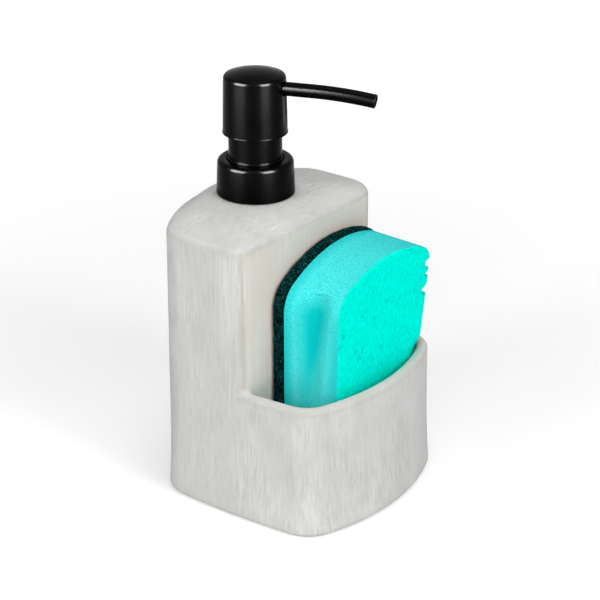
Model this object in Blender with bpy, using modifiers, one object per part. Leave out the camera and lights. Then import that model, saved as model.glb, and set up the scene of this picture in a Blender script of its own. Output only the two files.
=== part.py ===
"""Soap dispenser: a cast ceramic vessel with a sponge pocket, its press pump and its sponge.

Metres, +Z up, +X towards the pocket. The origin is the middle of the footprint, on the surface
that the vessel stands on. The pump's axis is vertical, behind the middle of the vessel.

The vessel is one lofted skin. Its outer wall, its lip, its pocket, its top and the inside of its
reservoir are rings of points that share their edges. The pump is a stack of turned pieces, the
spout and the spring are swept along a path, and the sponge is lofted through its thickness.
"""

import math

import bpy
import bmesh
from mathutils import Vector

MM = 0.001

# Fits between neighbouring pieces
SEAT_GAP = 0.3 * MM
SLIDE_GAP = 0.25 * MM
CUT_OVERRUN = 2.0 * MM
WELD_DISTANCE = 0.001 * MM

# Vessel: heights above the surface it stands on
VESSEL_HEIGHT = 121.3 * MM
RIM_HEIGHT = 56.6 * MM
FLOOR = 8.0 * MM

# Vessel: plan at the base, measured from the pump's axis, and how it narrows towards the top
FRONT_REACH = 71.2 * MM
BACK_REACH = 27.9 * MM
HALF_WIDTH = 47.9 * MM
FRONT_DRAFT = 2.4 * MM
BACK_DRAFT = 1.4 * MM
SIDE_DRAFT = 0.6 * MM
BASE_FLARE = 1.0 * MM
BASE_FLARE_HEIGHT = 30.0 * MM
FRONT_ARC_RADIUS = 92.0 * MM
BACK_ARC_RADIUS = 70.0 * MM
SIDE_ARC_RADIUS = 360.0 * MM
SIDE_ARC_CENTRE = 6.0 * MM
FRONT_CORNER_RADIUS = 15.0 * MM
BACK_CORNER_RADIUS = 15.0 * MM
STEP_REACH = 30.3 * MM
FAR_STEP_CORNER_RADIUS = 15.0 * MM
NEAR_STEP_CORNER_RADIUS = 5.0 * MM

# Vessel: walls and edges
WALL = 4.6 * MM
BASE_EDGE_RADIUS = 2.4 * MM
TOP_EDGE_RADIUS = 3.0 * MM
CROWN_RISE = 4.0 * MM
POCKET_EDGE_RADIUS = 1.6 * MM
POCKET_CORNER_RADIUS = 2.5 * MM
POCKET_DRAFT = 1.0 * MM
RESERVOIR_EDGE_RADIUS = 6.0 * MM

# Vessel: the neck that takes the pump
NECK_LAND_RADIUS = 17.0 * MM
NECK_BORE_RADIUS = 12.8 * MM
NECK_LEDGE_RADIUS = 14.2 * MM
NECK_LEDGE_DEPTH = 2.0 * MM
NECK_DEPTH = 7.0 * MM

# Vessel: sizes that follow from these
LIP_START = RIM_HEIGHT - WALL * 0.5
PUMP_X = (BACK_REACH - FRONT_REACH) * 0.5
COLLAR_FOOT = VESSEL_HEIGHT + SEAT_GAP

# Pump: heights above the foot of the collar, and radii
COLLAR_RADIUS = 16.0 * MM
COLLAR_TOP_RADIUS = 15.4 * MM
COLLAR_HEIGHT = 14.4 * MM
COLLAR_EDGE_RADIUS = 1.8 * MM
METAL_WALL = 0.9 * MM
NECK_SLEEVE_RADIUS = 10.85 * MM
NECK_SLEEVE_TOP = 27.6 * MM
NECK_FOOT_RADIUS = 11.15 * MM
NECK_FOOT_RISE = 0.6 * MM
HEAD_BOTTOM = 25.3 * MM
HEAD_BOTTOM_RADIUS = 13.15 * MM
HEAD_SHOULDER = 48.9 * MM
HEAD_SHOULDER_RADIUS = 12.5 * MM
HEAD_EDGE_RADIUS = 1.8 * MM
HEAD_TOP = 51.2 * MM
HEAD_WALL = 1.0 * MM
SPOUT_HEIGHT = 44.15 * MM
SPOUT_REACH = 49.4 * MM
SPOUT_RADIUS = 2.8 * MM
SPOUT_WALL = 0.6 * MM
SPOUT_BEND_START = 24.0 * MM
SPOUT_BEND_TURN = math.radians(8.4)
SPOUT_TURN = math.radians(21.0)
PRESS_STROKE = 10.5 * MM
PRESS_CLEARANCE = 1.3 * MM

# Pump: the closure and the parts under it
COLLAR_HOLE_RADIUS = 11.8 * MM
NUT_RADIUS = 14.1 * MM
NUT_WALL = 1.8 * MM
NUT_HOLE_RADIUS = 10.0 * MM
NUT_TOP = 12.9 * MM
NUT_WEB = 1.6 * MM
NUT_FOOT = 1.0 * MM
BUSH_TOP = 8.0 * MM
BUSH_RADIUS = 11.8 * MM
BUSH_BORE_RADIUS = 9.2 * MM
BUSH_FLANGE_THICKNESS = 1.4 * MM
BUSH_TAIL = 4.0 * MM
GASKET_THICKNESS = 1.2 * MM
FLANGE_RADIUS = 11.8 * MM
FLANGE_THICKNESS = 1.2 * MM
CYLINDER_BORE_RADIUS = 5.9 * MM
CYLINDER_WALL = 1.2 * MM
CYLINDER_DEPTH = 32.0 * MM
BALL_RADIUS = 2.4 * MM
BALL_LIFT = 1.2 * MM
VALVE_HOLE_RADIUS = 1.3 * MM
VALVE_CHAMBER_RADIUS = 3.4 * MM
VALVE_WEB = 1.4 * MM
TAIL_LENGTH = 9.0 * MM
DIP_TUBE_RADIUS = 2.9 * MM
DIP_TUBE_BORE_RADIUS = 2.0 * MM
DIP_TUBE_CLEARANCE = 2.5 * MM
STEM_RADIUS = 3.2 * MM
STEM_BORE_RADIUS = 1.3 * MM
STEM_TOP = 37.2 * MM
STEM_FOOT_RADIUS = 4.7 * MM
STEM_FOOT_THICKNESS = 1.0 * MM
OUTLET_BALL_RADIUS = 2.0 * MM
OUTLET_BALL_LIFT = 1.0 * MM
OUTLET_CHAMBER_RADIUS = 2.4 * MM
PISTON_LENGTH = 5.3 * MM
PISTON_WAIST = 0.9 * MM
PISTON_LIP_HEIGHT = 0.9 * MM
GUIDE_REACH = 0.5 * MM
GUIDE_FLANGE_RADIUS = 9.4 * MM
GUIDE_FLANGE_THICKNESS = 1.0 * MM
SPRING_RADIUS = 4.0 * MM
SPRING_WIRE_RADIUS = 0.5 * MM
SPRING_TURNS = 7
SPRING_SEAT_THICKNESS = 1.2 * MM
SPRING_SEAT_SLOT_RADIUS = 0.9 * MM
SPRING_SEAT_SLOTS = 4
CORE_RADIUS = 11.2 * MM
CORE_EDGE_RADIUS = 1.5 * MM
CORE_SOCKET_WALL = 1.9 * MM
CORE_SOCKET_BOTTOM = 30.6 * MM
CORE_TOP = 48.1 * MM
CORE_CHANNEL_RADIUS = 1.3 * MM

# Pump: sizes that follow from these
FLANGE_TOP = BUSH_TOP + GASKET_THICKNESS + FLANGE_THICKNESS + 2.0 * SEAT_GAP
GUIDE_FOOT = -GUIDE_REACH
STEM_FOOT = GUIDE_FOOT - PISTON_LENGTH - STEM_FOOT_THICKNESS - 2.0 * SEAT_GAP
SEAT_TOP = SPRING_SEAT_THICKNESS + SEAT_GAP - CYLINDER_DEPTH
INLET_BALL_HEIGHT = SEAT_TOP - SPRING_SEAT_THICKNESS - SLIDE_GAP - BALL_LIFT - BALL_RADIUS
VALVE_SEAT = INLET_BALL_HEIGHT + VALVE_HOLE_RADIUS - math.sqrt(2.0) * (BALL_RADIUS + SLIDE_GAP)
TAIL_TOP = VALVE_SEAT - VALVE_WEB
TAIL_FOOT = TAIL_TOP - TAIL_LENGTH
OUTLET_BALL_HEIGHT = STEM_TOP - OUTLET_BALL_LIFT - OUTLET_BALL_RADIUS
OUTLET_SEAT_DROP = math.sqrt(2.0) * (OUTLET_BALL_RADIUS + SLIDE_GAP) - STEM_BORE_RADIUS
OUTLET_CHAMBER_DEPTH = STEM_TOP - OUTLET_BALL_HEIGHT + OUTLET_SEAT_DROP
SPOUT_START = STEM_RADIUS
CORE_BOTTOM = NECK_SLEEVE_TOP + PRESS_STROKE + PRESS_CLEARANCE

# Sponge: where it stands, its outline seen from the front and the layers of its thickness
SPONGE_BACK_GAP = 0.7 * MM
SPONGE_HEIGHT = 98.8 * MM
SPONGE_TOP_SLOPE = 1.3 * MM
SPONGE_NEAR_REACH = 28.4 * MM
SPONGE_FAR_REACH = 39.4 * MM
SPONGE_SHEAR = 4.5 * MM
SPONGE_FAR_TAPER = 6.4 * MM
SPONGE_TAPER_TOP = 95.0 * MM
SPONGE_PEAK = 10.0 * MM
SPONGE_ARCH_RADIUS = 62.0 * MM
SPONGE_NEAR_CORNER_RADIUS = 13.0 * MM
SPONGE_FAR_CORNER_RADIUS = 8.0 * MM
SPONGE_FOOT_RADIUS = 4.0 * MM
SPONGE_WALL_GAP = 0.6 * MM
SPONGE_FREE_RISE = 6.0 * MM
PAD_THICKNESS = 5.0 * MM
PAD_OVERHANG = 0.4 * MM
PAD_EDGE_RADIUS = 1.0 * MM
FOAM_THICKNESS = 23.6 * MM
FOAM_EDGE_RADIUS = 1.0 * MM
FOAM_CROWN = 0.4 * MM
GRIP_DEPTH = 4.4 * MM
GRIP_HALF_WIDTH = 8.0 * MM
GRIP_TOP = 97.0 * MM
GRIP_FOOT = 42.0 * MM
GRIP_ROUND = 11.0 * MM
GRIP_LEAN = 1.6 * MM
GRIP_FOOT_WIDTH_SHARE = 0.45

# Facets
BACK_STEPS = 7
BACK_CORNER_STEPS = 5
SIDE_STEPS = 4
FRONT_SIDE_STEPS = 2
FRONT_CORNER_STEPS = 5
FRONT_STEPS = 6
LIP_STEPS = 6
STEP_CORNER_STEPS = 3
STEP_LINE_STEPS = 5
EDGE_STEPS = 4
SHELL_SIDES = 40
INNER_SIDES = 24
TUBE_SIDES = 12
FILLET_STEPS = 4
SPONGE_CORNER_STEPS = 4
SPONGE_ARCH_STEPS = 8
SPONGE_FOOT_STEPS = 3
SPONGE_BOTTOM_STEPS = 4
SPRING_POINTS_PER_TURN = 10
SPOUT_BEND_STEPS = 6


# Materials

def make_material(name, colour, roughness, metallic=0.0):
    """A Principled material for one finish."""
    material = bpy.data.materials.new(name)
    material.use_nodes = True
    shader = material.node_tree.nodes["Principled BSDF"]
    shader.inputs["Base Color"].default_value = (*colour, 1.0)
    shader.inputs["Roughness"].default_value = roughness
    shader.inputs["Metallic"].default_value = metallic
    material.diffuse_color = (*colour, 1.0)
    return material


# Objects

def add_object(name, mesh, material, collection, parent=None, location=(0.0, 0.0, 0.0)):
    """Link a mesh as a named, smooth-shaded sub-part."""
    mesh.shade_smooth()
    mesh.set_sharp_from_angle(angle=math.radians(35.0))
    mesh.materials.append(material)
    sub_part = bpy.data.objects.new(name, mesh)
    collection.objects.link(sub_part)
    sub_part.parent = parent
    sub_part.location = location
    return sub_part


def add_axis(name, collection, location, parent=None, turn=0.0):
    """An empty on a joint's axis, which carries what moves about it."""
    axis = bpy.data.objects.new(name, None)
    axis.empty_display_type = "SINGLE_ARROW"
    axis.empty_display_size = COLLAR_RADIUS
    axis.location = location
    axis.rotation_euler = (0.0, 0.0, turn)
    axis.parent = parent
    collection.objects.link(axis)
    return axis


# Plan curves

def on_arc(centre, radius, angle):
    """The point of a circle in plan that lies in this direction."""
    return centre + radius * Vector((math.cos(angle), math.sin(angle)))


def arc(centre, radius, start, end, steps):
    """Points of an arc in plan, both ends included."""
    return [on_arc(centre, radius, start + (end - start) * step / steps) for step in range(steps + 1)]


def angle_from(centre, point):
    """The direction of a point as seen from a centre."""
    offset = point - centre
    return math.atan2(offset.y, offset.x)


def corner_centre(centre_a, radius_a, centre_b, radius_b, corner):
    """The centre, on the +Y side, of a corner arc that touches two arcs from inside."""
    reach_a = radius_a - corner
    reach_b = radius_b - corner
    line = centre_b - centre_a
    along = (reach_a ** 2 - reach_b ** 2 + line.length_squared) / (2.0 * line.length)
    across = math.sqrt(max(reach_a ** 2 - along ** 2, 0.0))
    direction = line.normalized()
    normal = Vector((-direction.y, direction.x))
    ends = [centre_a + direction * along + normal * side * across for side in (1.0, -1.0)]
    return max(ends, key=lambda end: end.y)


def plan_at(height):
    """Half width, front reach and back reach of the vessel at a height."""
    rise = (height - BASE_EDGE_RADIUS) / (VESSEL_HEIGHT - BASE_EDGE_RADIUS)
    flare_left = max(0.0, 1.0 - (height - BASE_EDGE_RADIUS) / BASE_FLARE_HEIGHT)
    flare = BASE_FLARE * (min(flare_left, 1.0) ** 2 - 1.0)
    narrowing = max(rise, 0.0)
    half_width = HALF_WIDTH + flare - SIDE_DRAFT * narrowing
    front = FRONT_REACH + flare - FRONT_DRAFT * narrowing
    back = BACK_REACH + flare - BACK_DRAFT * narrowing
    return half_width, front, back


def at_height(points, height):
    """Plan points lifted to one height."""
    return [Vector((point.x, point.y, height)) for point in points]


def other_side(points):
    """Points of the +Y side carried over to the -Y side, in the opposite order."""
    return [Vector((point.x, -point.y, point.z)) for point in reversed(points)]


def mirrored(half):
    """A closed loop from its +Y half, whose two ends lie on the X axis."""
    return half + other_side(half[1:-1])


def both_sides(half_for):
    """A closed loop from a function that gives a half for the radius of the step's corner.

    The far side, +Y, has a soft corner and the near side, -Y, a tight one.
    """
    far = half_for(FAR_STEP_CORNER_RADIUS)
    near = half_for(NEAR_STEP_CORNER_RADIUS)
    return far + other_side(near[1:-1])


class VesselPlan:
    """The +Y half of the vessel's outline at one height, moved inwards by an inset.

    The step's corner has the given radius where there is no inset.
    """

    def __init__(self, height, inset=0.0, corner=FAR_STEP_CORNER_RADIUS):
        half_width, front, back = plan_at(height)
        self.front_radius = FRONT_ARC_RADIUS - inset
        self.back_radius = BACK_ARC_RADIUS - inset
        self.side_radius = SIDE_ARC_RADIUS - inset
        self.front_centre = Vector((front - FRONT_ARC_RADIUS, 0.0))
        self.back_centre = Vector((BACK_ARC_RADIUS - back, 0.0))
        self.side_centre = Vector((SIDE_ARC_CENTRE, half_width - SIDE_ARC_RADIUS))
        self.nominal_corner = corner
        self.step_x = STEP_REACH - inset
        self.front_corner = max(FRONT_CORNER_RADIUS - inset, POCKET_CORNER_RADIUS)
        self.back_corner = max(BACK_CORNER_RADIUS - inset, RESERVOIR_EDGE_RADIUS)
        self.step_corner = max(corner - inset, POCKET_CORNER_RADIUS)
        self.front_corner_centre = corner_centre(
            self.front_centre, self.front_radius, self.side_centre, self.side_radius, self.front_corner)
        self.back_corner_centre = corner_centre(
            self.back_centre, self.back_radius, self.side_centre, self.side_radius, self.back_corner)
        step_centre_x = self.step_x - self.step_corner
        side_reach = self.side_radius - self.step_corner
        step_centre_y = self.side_y(step_centre_x, side_reach)
        self.step_centre = Vector((step_centre_x, step_centre_y))
        self.step_angle = angle_from(self.side_centre, self.step_centre)

    def side_y(self, x, radius=None):
        """How far out the side arc is at a place along X."""
        reach = self.side_radius if radius is None else radius
        return self.side_centre.y + math.sqrt(reach ** 2 - (x - self.side_centre.x) ** 2)

    def back_half(self):
        """From the middle of the back, round the corner and along the side to the step's corner."""
        corner_start = angle_from(self.back_centre, self.back_corner_centre)
        corner_end = angle_from(self.side_centre, self.back_corner_centre)
        points = arc(self.back_centre, self.back_radius, math.pi, corner_start, BACK_STEPS)
        points += arc(self.back_corner_centre, self.back_corner, corner_start, corner_end,
                      BACK_CORNER_STEPS)[1:]
        points += arc(self.side_centre, self.side_radius, corner_end, self.step_angle, SIDE_STEPS)[1:]
        return points

    def front_half(self):
        """From just in front of the step, round the front corner to the middle of the front."""
        start_x = STEP_REACH + 3.0 * POCKET_CORNER_RADIUS
        start = angle_from(self.side_centre, Vector((start_x, self.side_y(start_x))))
        corner_start = angle_from(self.side_centre, self.front_corner_centre)
        corner_end = angle_from(self.front_centre, self.front_corner_centre)
        points = arc(self.side_centre, self.side_radius, start, corner_start, FRONT_SIDE_STEPS)
        points += arc(self.front_corner_centre, self.front_corner, corner_start, corner_end,
                      FRONT_CORNER_STEPS)[1:]
        points += arc(self.front_centre, self.front_radius, corner_end, 0.0, FRONT_STEPS)[1:]
        return points

    def lip_angles(self):
        """Angles on the step's corner where each row of the lip ends."""
        angles = []
        for row in range(LIP_STEPS + 1):
            share = lip_depth(row) / self.nominal_corner
            angles.append(math.asin(math.sin(self.step_angle) - share))
        return angles

    def step_corner_rows(self):
        """The step's corner as far as the lip's inner edge, one point for each row of the lip."""
        return [on_arc(self.step_centre, self.step_corner, angle) for angle in self.lip_angles()]

    def step_face(self):
        """The rest of the step's corner and its flat face, to the middle."""
        last = self.lip_angles()[-1]
        points = arc(self.step_centre, self.step_corner, last, 0.0, STEP_CORNER_STEPS)[1:]
        return points + straight_to_middle(points[-1])

    def tower(self):
        """The closed half outline of the tall back of the vessel."""
        rows = self.step_corner_rows()
        return self.back_half() + rows[1:] + self.step_face()

    def simple_tower(self):
        """The same outline with as many points, where the corner is too small for the lip's rows."""
        corner = arc(self.step_centre, self.step_corner, self.step_angle, 0.0,
                     LIP_STEPS + STEP_CORNER_STEPS)
        return self.back_half() + corner[1:] + straight_to_middle(corner[-1])


def straight_to_middle(start):
    """Even points from here straight to the X axis, the start left out."""
    return [Vector((start.x, start.y * (1.0 - step / STEP_LINE_STEPS)))
            for step in range(1, STEP_LINE_STEPS + 1)]


def lip_depth(row):
    """How far in from the outer face a row of the rounded lip is."""
    return WALL * 0.5 * (1.0 - math.cos(math.pi * row / LIP_STEPS))


def lip_height(row):
    """The height of a row of the rounded lip."""
    return LIP_START + WALL * 0.5 * math.sin(math.pi * row / LIP_STEPS)


# Skins

def add_rings(mesh, rings, closed=True, cap_first=False, cap_last=False):
    """Quads between neighbouring rings of points, with flat caps where asked."""
    rows = [[mesh.verts.new(point) for point in ring] for ring in rings]
    for row, following in zip(rows[:-1], rows[1:]):
        count = len(row) if closed else len(row) - 1
        for index in range(count):
            after = (index + 1) % len(row)
            mesh.faces.new((row[index], row[after], following[after], following[index]))
    if cap_first:
        mesh.faces.new(rows[0])
    if cap_last:
        mesh.faces.new(rows[-1])


def finish_skin(name, mesh):
    """Weld the patches' shared edges, point the faces out and hand back the mesh."""
    bmesh.ops.remove_doubles(mesh, verts=mesh.verts, dist=WELD_DISTANCE)
    bmesh.ops.recalc_face_normals(mesh, faces=mesh.faces)
    data = bpy.data.meshes.new(name)
    mesh.to_mesh(data)
    mesh.free()
    return data


def edge_turns(steps, last=math.pi / 2.0):
    """Angles round an edge, the first left out."""
    return [last * step / steps for step in range(1, steps + 1)]


def between(low, high, shares):
    """Heights at these shares of the way from one to the other."""
    return [low + (high - low) * share for share in shares]


# Vessel

OUTER_WALL_SHARES = (0.12, 0.3, 0.6, 1.0)
TOWER_WALL_SHARES = (0.08, 0.4, 0.75, 1.0)
CROWN_SHARES = (0.3, 0.65, 1.0)
RESERVOIR_WALL_SHARES = (0.35, 0.7, 1.0)
POCKET_WALL_SHARES = (0.12, 0.55, 1.0)
TOP_EDGE_TURN = math.radians(75.0)


def outer_wall_rings():
    """The outer wall, from the flat of the foot to where the lip begins."""
    rings = []
    for turn in [0.0] + edge_turns(EDGE_STEPS):
        inset = BASE_EDGE_RADIUS * (1.0 - math.sin(turn))
        rings.append((BASE_EDGE_RADIUS * (1.0 - math.cos(turn)), inset))
    rings += [(height, 0.0) for height in between(BASE_EDGE_RADIUS, LIP_START, OUTER_WALL_SHARES)]
    return [outer_ring(height, inset) for height, inset in rings]


def outer_ring(height, inset):
    """One ring of the outer wall."""
    def half(corner):
        plan = VesselPlan(height, inset, corner)
        return at_height(plan.back_half() + plan.front_half(), height)
    return both_sides(half)


def lip_rows():
    """The rounded lip of the pocket, from its outer edge to its inner edge."""
    far_rows = VesselPlan(LIP_START).step_corner_rows()
    near_rows = VesselPlan(LIP_START, corner=NEAR_STEP_CORNER_RADIUS).step_corner_rows()
    rows = []
    for row in range(LIP_STEPS + 1):
        front = VesselPlan(LIP_START, lip_depth(row)).front_half()
        far = at_height([far_rows[row]] + front, lip_height(row))
        near = at_height([near_rows[row]] + front[:-1], lip_height(row))
        rows.append(far + other_side(near))
    return rows


def tower_rings():
    """The tall back above the lip, its rounded top edge and its crown."""
    wall_top = VESSEL_HEIGHT - CROWN_RISE - TOP_EDGE_RADIUS
    rings = [both_sides(tower_foot)]
    for height in between(RIM_HEIGHT, wall_top, TOWER_WALL_SHARES):
        rings.append(tower_ring(height, 0.0, height))
    for turn in edge_turns(EDGE_STEPS, TOP_EDGE_TURN):
        inset = TOP_EDGE_RADIUS * (1.0 - math.cos(turn))
        rings.append(tower_ring(wall_top, inset, wall_top + TOP_EDGE_RADIUS * math.sin(turn)))
    edge = rings[-1]
    for share in CROWN_SHARES:
        rise = (VESSEL_HEIGHT - edge[0].z) * (1.0 - (1.0 - share) ** 2)
        rings.append(towards_circle(edge, NECK_LAND_RADIUS, share, edge[0].z + rise))
    return rings


def tower_foot(corner):
    """Half of the tower's first ring, which follows the lip up and down across its end."""
    plan = VesselPlan(LIP_START, corner=corner)
    points = at_height(plan.back_half(), LIP_START)
    for row, point in enumerate(plan.step_corner_rows()):
        if row > 0:
            points.append(Vector((point.x, point.y, lip_height(row))))
    return points + at_height(plan.step_face(), LIP_START)


def tower_ring(plan_height, inset, height):
    """One ring of the tall back of the vessel."""
    return both_sides(lambda corner: at_height(VesselPlan(plan_height, inset, corner).tower(), height))


def towards_circle(ring, radius, share, height):
    """A ring moved a share of the way to a circle about the pump's axis."""
    points = []
    for point in ring:
        flat = Vector((point.x, point.y))
        moved = flat.lerp(flat.normalized() * radius, share)
        points.append(Vector((moved.x, moved.y, height)))
    return points


def reservoir_rings(land):
    """The neck's ledge and bore, and the inside of the reservoir down to its floor."""
    neck = ((NECK_LEDGE_RADIUS, 0.0), (NECK_LEDGE_RADIUS, NECK_LEDGE_DEPTH),
            (NECK_BORE_RADIUS, NECK_LEDGE_DEPTH), (NECK_BORE_RADIUS, NECK_DEPTH))
    rings = [towards_circle(land, radius, 1.0, VESSEL_HEIGHT - depth) for radius, depth in neck]
    roof = VESSEL_HEIGHT - CROWN_RISE - WALL
    inner = []
    for turn in [0.0] + edge_turns(EDGE_STEPS):
        inset = WALL + RESERVOIR_EDGE_RADIUS * (1.0 - math.sin(turn))
        inner.append((roof - RESERVOIR_EDGE_RADIUS * (1.0 - math.cos(turn)), inset))
    low = FLOOR + RESERVOIR_EDGE_RADIUS
    inner += [(height, WALL) for height in between(inner[-1][0], low, RESERVOIR_WALL_SHARES)]
    for turn in edge_turns(EDGE_STEPS):
        inset = WALL + RESERVOIR_EDGE_RADIUS * (1.0 - math.cos(turn))
        inner.append((low - RESERVOIR_EDGE_RADIUS * math.sin(turn), inset))
    loops = [reservoir_ring(height, inset) for height, inset in inner]
    middle = towards_circle(loops[0], NECK_BORE_RADIUS, 0.5, (rings[-1][0].z + roof) / 2.0)
    return rings + [middle] + loops


def reservoir_ring(height, inset):
    """One ring of the reservoir's inside."""
    return both_sides(lambda corner: at_height(VesselPlan(height, inset, corner).simple_tower(), height))


def pocket_mouth(corner):
    """Half of the lip's inner edge, closed along the step's face."""
    plan = VesselPlan(LIP_START, corner=corner)
    back = [plan.step_corner_rows()[-1]] + plan.step_face()
    front = VesselPlan(LIP_START, WALL).front_half()
    return at_height(list(reversed(back)) + front, LIP_START)


def pocket_rings():
    """The inside of the pocket, from the lip's inner edge to its floor."""
    rings = [both_sides(pocket_mouth)]
    floor_edge = FLOOR + POCKET_EDGE_RADIUS
    for share in POCKET_WALL_SHARES:
        height = LIP_START + (floor_edge - LIP_START) * share
        rings.append(pocket_ring(height, height, POCKET_DRAFT * share, 0.0))
    for turn in edge_turns(EDGE_STEPS):
        height = floor_edge - POCKET_EDGE_RADIUS * math.sin(turn)
        edge = POCKET_EDGE_RADIUS * (1.0 - math.cos(turn))
        rings.append(pocket_ring(floor_edge, height, POCKET_DRAFT, edge))
    return rings


def pocket_ring(plan_height, height, draft, edge):
    """One ring of the pocket's wall, whose back corners are rounded."""
    plan = VesselPlan(plan_height, WALL + draft + edge)
    corner_x = STEP_REACH + edge + POCKET_CORNER_RADIUS
    corner = Vector((corner_x, plan.side_y(corner_x, plan.side_radius - POCKET_CORNER_RADIUS)))
    back = arc(corner, POCKET_CORNER_RADIUS, angle_from(plan.side_centre, corner), math.pi,
               STEP_CORNER_STEPS)
    back += straight_to_middle(back[-1])
    return mirrored(at_height(list(reversed(back)) + plan.front_half(), height))


def vessel_mesh():
    """The whole vessel as one closed skin."""
    mesh = bmesh.new()
    add_rings(mesh, outer_wall_rings(), cap_first=True)
    add_rings(mesh, lip_rows(), closed=False)
    tower = tower_rings()
    add_rings(mesh, tower)
    add_rings(mesh, [tower[-1]] + reservoir_rings(tower[-1]), cap_last=True)
    add_rings(mesh, pocket_rings(), cap_last=True)
    return finish_skin("ceramic_body", mesh)


# Turned pieces

DOME_SHARES = (0.0, 0.25, 0.45, 0.62)


def rounded_profile(corners, closed):
    """Points of a profile in radius and height, with an arc at each corner that has a fillet."""
    points = []
    count = len(corners)
    for index, (radius, height, fillet) in enumerate(corners):
        here = Vector((radius, height))
        at_end = not closed and index in (0, count - 1)
        if fillet == 0.0 or at_end:
            points.append(here)
            continue
        before = (Vector(corners[index - 1][:2]) - here).normalized()
        after = (Vector(corners[(index + 1) % count][:2]) - here).normalized()
        half_angle = before.angle(after) / 2.0
        start = here + before * fillet / math.tan(half_angle)
        end = here + after * fillet / math.tan(half_angle)
        centre = here + (before + after).normalized() * fillet / math.sin(half_angle)
        for step in range(FILLET_STEPS + 1):
            between_ends = start.lerp(end, step / FILLET_STEPS) - centre
            points.append(centre + between_ends.normalized() * fillet)
    return points


def turned(name, corners, material, collection, parent, sides=INNER_SIDES, height=0.0, closed=True):
    """A piece turned about its axis. Its profile runs down the outer side and up the inner one."""
    profile = rounded_profile(corners, closed)
    edges = [(index, index + 1) for index in range(len(profile) - 1)]
    if closed:
        edges.append((len(profile) - 1, 0))
    data = bpy.data.meshes.new(name)
    data.from_pydata([(point.x, 0.0, point.y) for point in profile], edges, [])
    piece = add_object(name, data, material, collection, parent, (0.0, 0.0, height))
    screw = piece.modifiers.new("Turn", "SCREW")
    screw.axis = "Z"
    screw.angle = 2.0 * math.pi
    screw.steps = sides
    screw.render_steps = sides
    screw.use_merge_vertices = True
    screw.merge_threshold = WELD_DISTANCE
    screw.use_smooth_shade = True
    return piece


def cut(piece, cutter):
    """Take a cutter's shape out of a piece."""
    boolean = piece.modifiers.new("Cut", "BOOLEAN")
    boolean.operation = "DIFFERENCE"
    boolean.solver = "EXACT"
    boolean.object = cutter


def add_cutter(name, radius, length, sides, collection, parent, location, lie_down=False):
    """A cylinder that only cuts, centred on its location."""
    mesh = bmesh.new()
    bmesh.ops.create_cone(mesh, cap_ends=True, segments=sides, radius1=radius, radius2=radius, depth=length)
    data = bpy.data.meshes.new(name)
    mesh.to_mesh(data)
    mesh.free()
    cutter = bpy.data.objects.new(name, data)
    cutter.parent = parent
    cutter.location = location
    if lie_down:
        cutter.rotation_euler = (0.0, math.pi / 2.0, 0.0)
    cutter.hide_render = True
    cutter.display_type = "WIRE"
    collection.objects.link(cutter)
    return cutter


def ball(name, radius, material, collection, parent, height):
    """A valve ball, centred on its own origin."""
    mesh = bmesh.new()
    bmesh.ops.create_uvsphere(mesh, u_segments=TUBE_SIDES, v_segments=TUBE_SIDES // 2 + 2, radius=radius)
    data = bpy.data.meshes.new(name)
    mesh.to_mesh(data)
    mesh.free()
    return add_object(name, data, material, collection, parent, (0.0, 0.0, height))


def dome_profile(top, shoulder, radius, fillet, outward):
    """A domed top from the axis to the fillet of its shoulder, or back."""
    sphere = (radius ** 2 + (top - shoulder) ** 2) / (2.0 * (top - shoulder))
    corners = []
    for share in DOME_SHARES:
        reach = radius * share
        corners.append((reach, top - sphere + math.sqrt(sphere ** 2 - reach ** 2), 0.0))
    corners.append((radius, shoulder, fillet))
    return corners if outward else corners[::-1]


def build_collar(materials, collection, axis):
    """The ring that screws down, its threaded closure and the sleeve that guides the head."""
    top_inside = COLLAR_HEIGHT - METAL_WALL
    turned("collar_shell", (
        (COLLAR_HOLE_RADIUS, COLLAR_HEIGHT, 0.0),
        (COLLAR_TOP_RADIUS, COLLAR_HEIGHT, COLLAR_EDGE_RADIUS),
        (COLLAR_RADIUS, 0.0, 0.0),
        (COLLAR_RADIUS - METAL_WALL, 0.0, 0.0),
        (COLLAR_TOP_RADIUS - METAL_WALL, top_inside, COLLAR_EDGE_RADIUS - METAL_WALL),
        (COLLAR_HOLE_RADIUS, top_inside, 0.0),
    ), materials["collar_shell"], collection, axis, SHELL_SIDES)
    turned("collar_nut", (
        (NUT_HOLE_RADIUS, NUT_TOP, 0.0),
        (NUT_RADIUS, NUT_TOP, 0.0),
        (NUT_RADIUS, NUT_FOOT, 0.0),
        (NUT_RADIUS - NUT_WALL, NUT_FOOT, 0.0),
        (NUT_RADIUS - NUT_WALL, NUT_TOP - NUT_WEB, 0.0),
        (NUT_HOLE_RADIUS, NUT_TOP - NUT_WEB, 0.0),
    ), materials["collar_nut"], collection, axis, SHELL_SIDES)
    foot = NUT_TOP + SEAT_GAP
    foot_top = COLLAR_HEIGHT + NECK_FOOT_RISE
    turned("neck_sleeve", (
        (NECK_SLEEVE_RADIUS, NECK_SLEEVE_TOP, 0.3 * METAL_WALL),
        (NECK_SLEEVE_RADIUS, foot_top, 0.0),
        (NECK_FOOT_RADIUS, foot_top - NECK_FOOT_RISE * 0.5, 0.0),
        (NECK_FOOT_RADIUS, foot, 0.0),
        (NECK_SLEEVE_RADIUS - METAL_WALL, foot, 0.0),
        (NECK_SLEEVE_RADIUS - METAL_WALL, NECK_SLEEVE_TOP, 0.3 * METAL_WALL),
    ), materials["neck_sleeve"], collection, axis, SHELL_SIDES)


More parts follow.
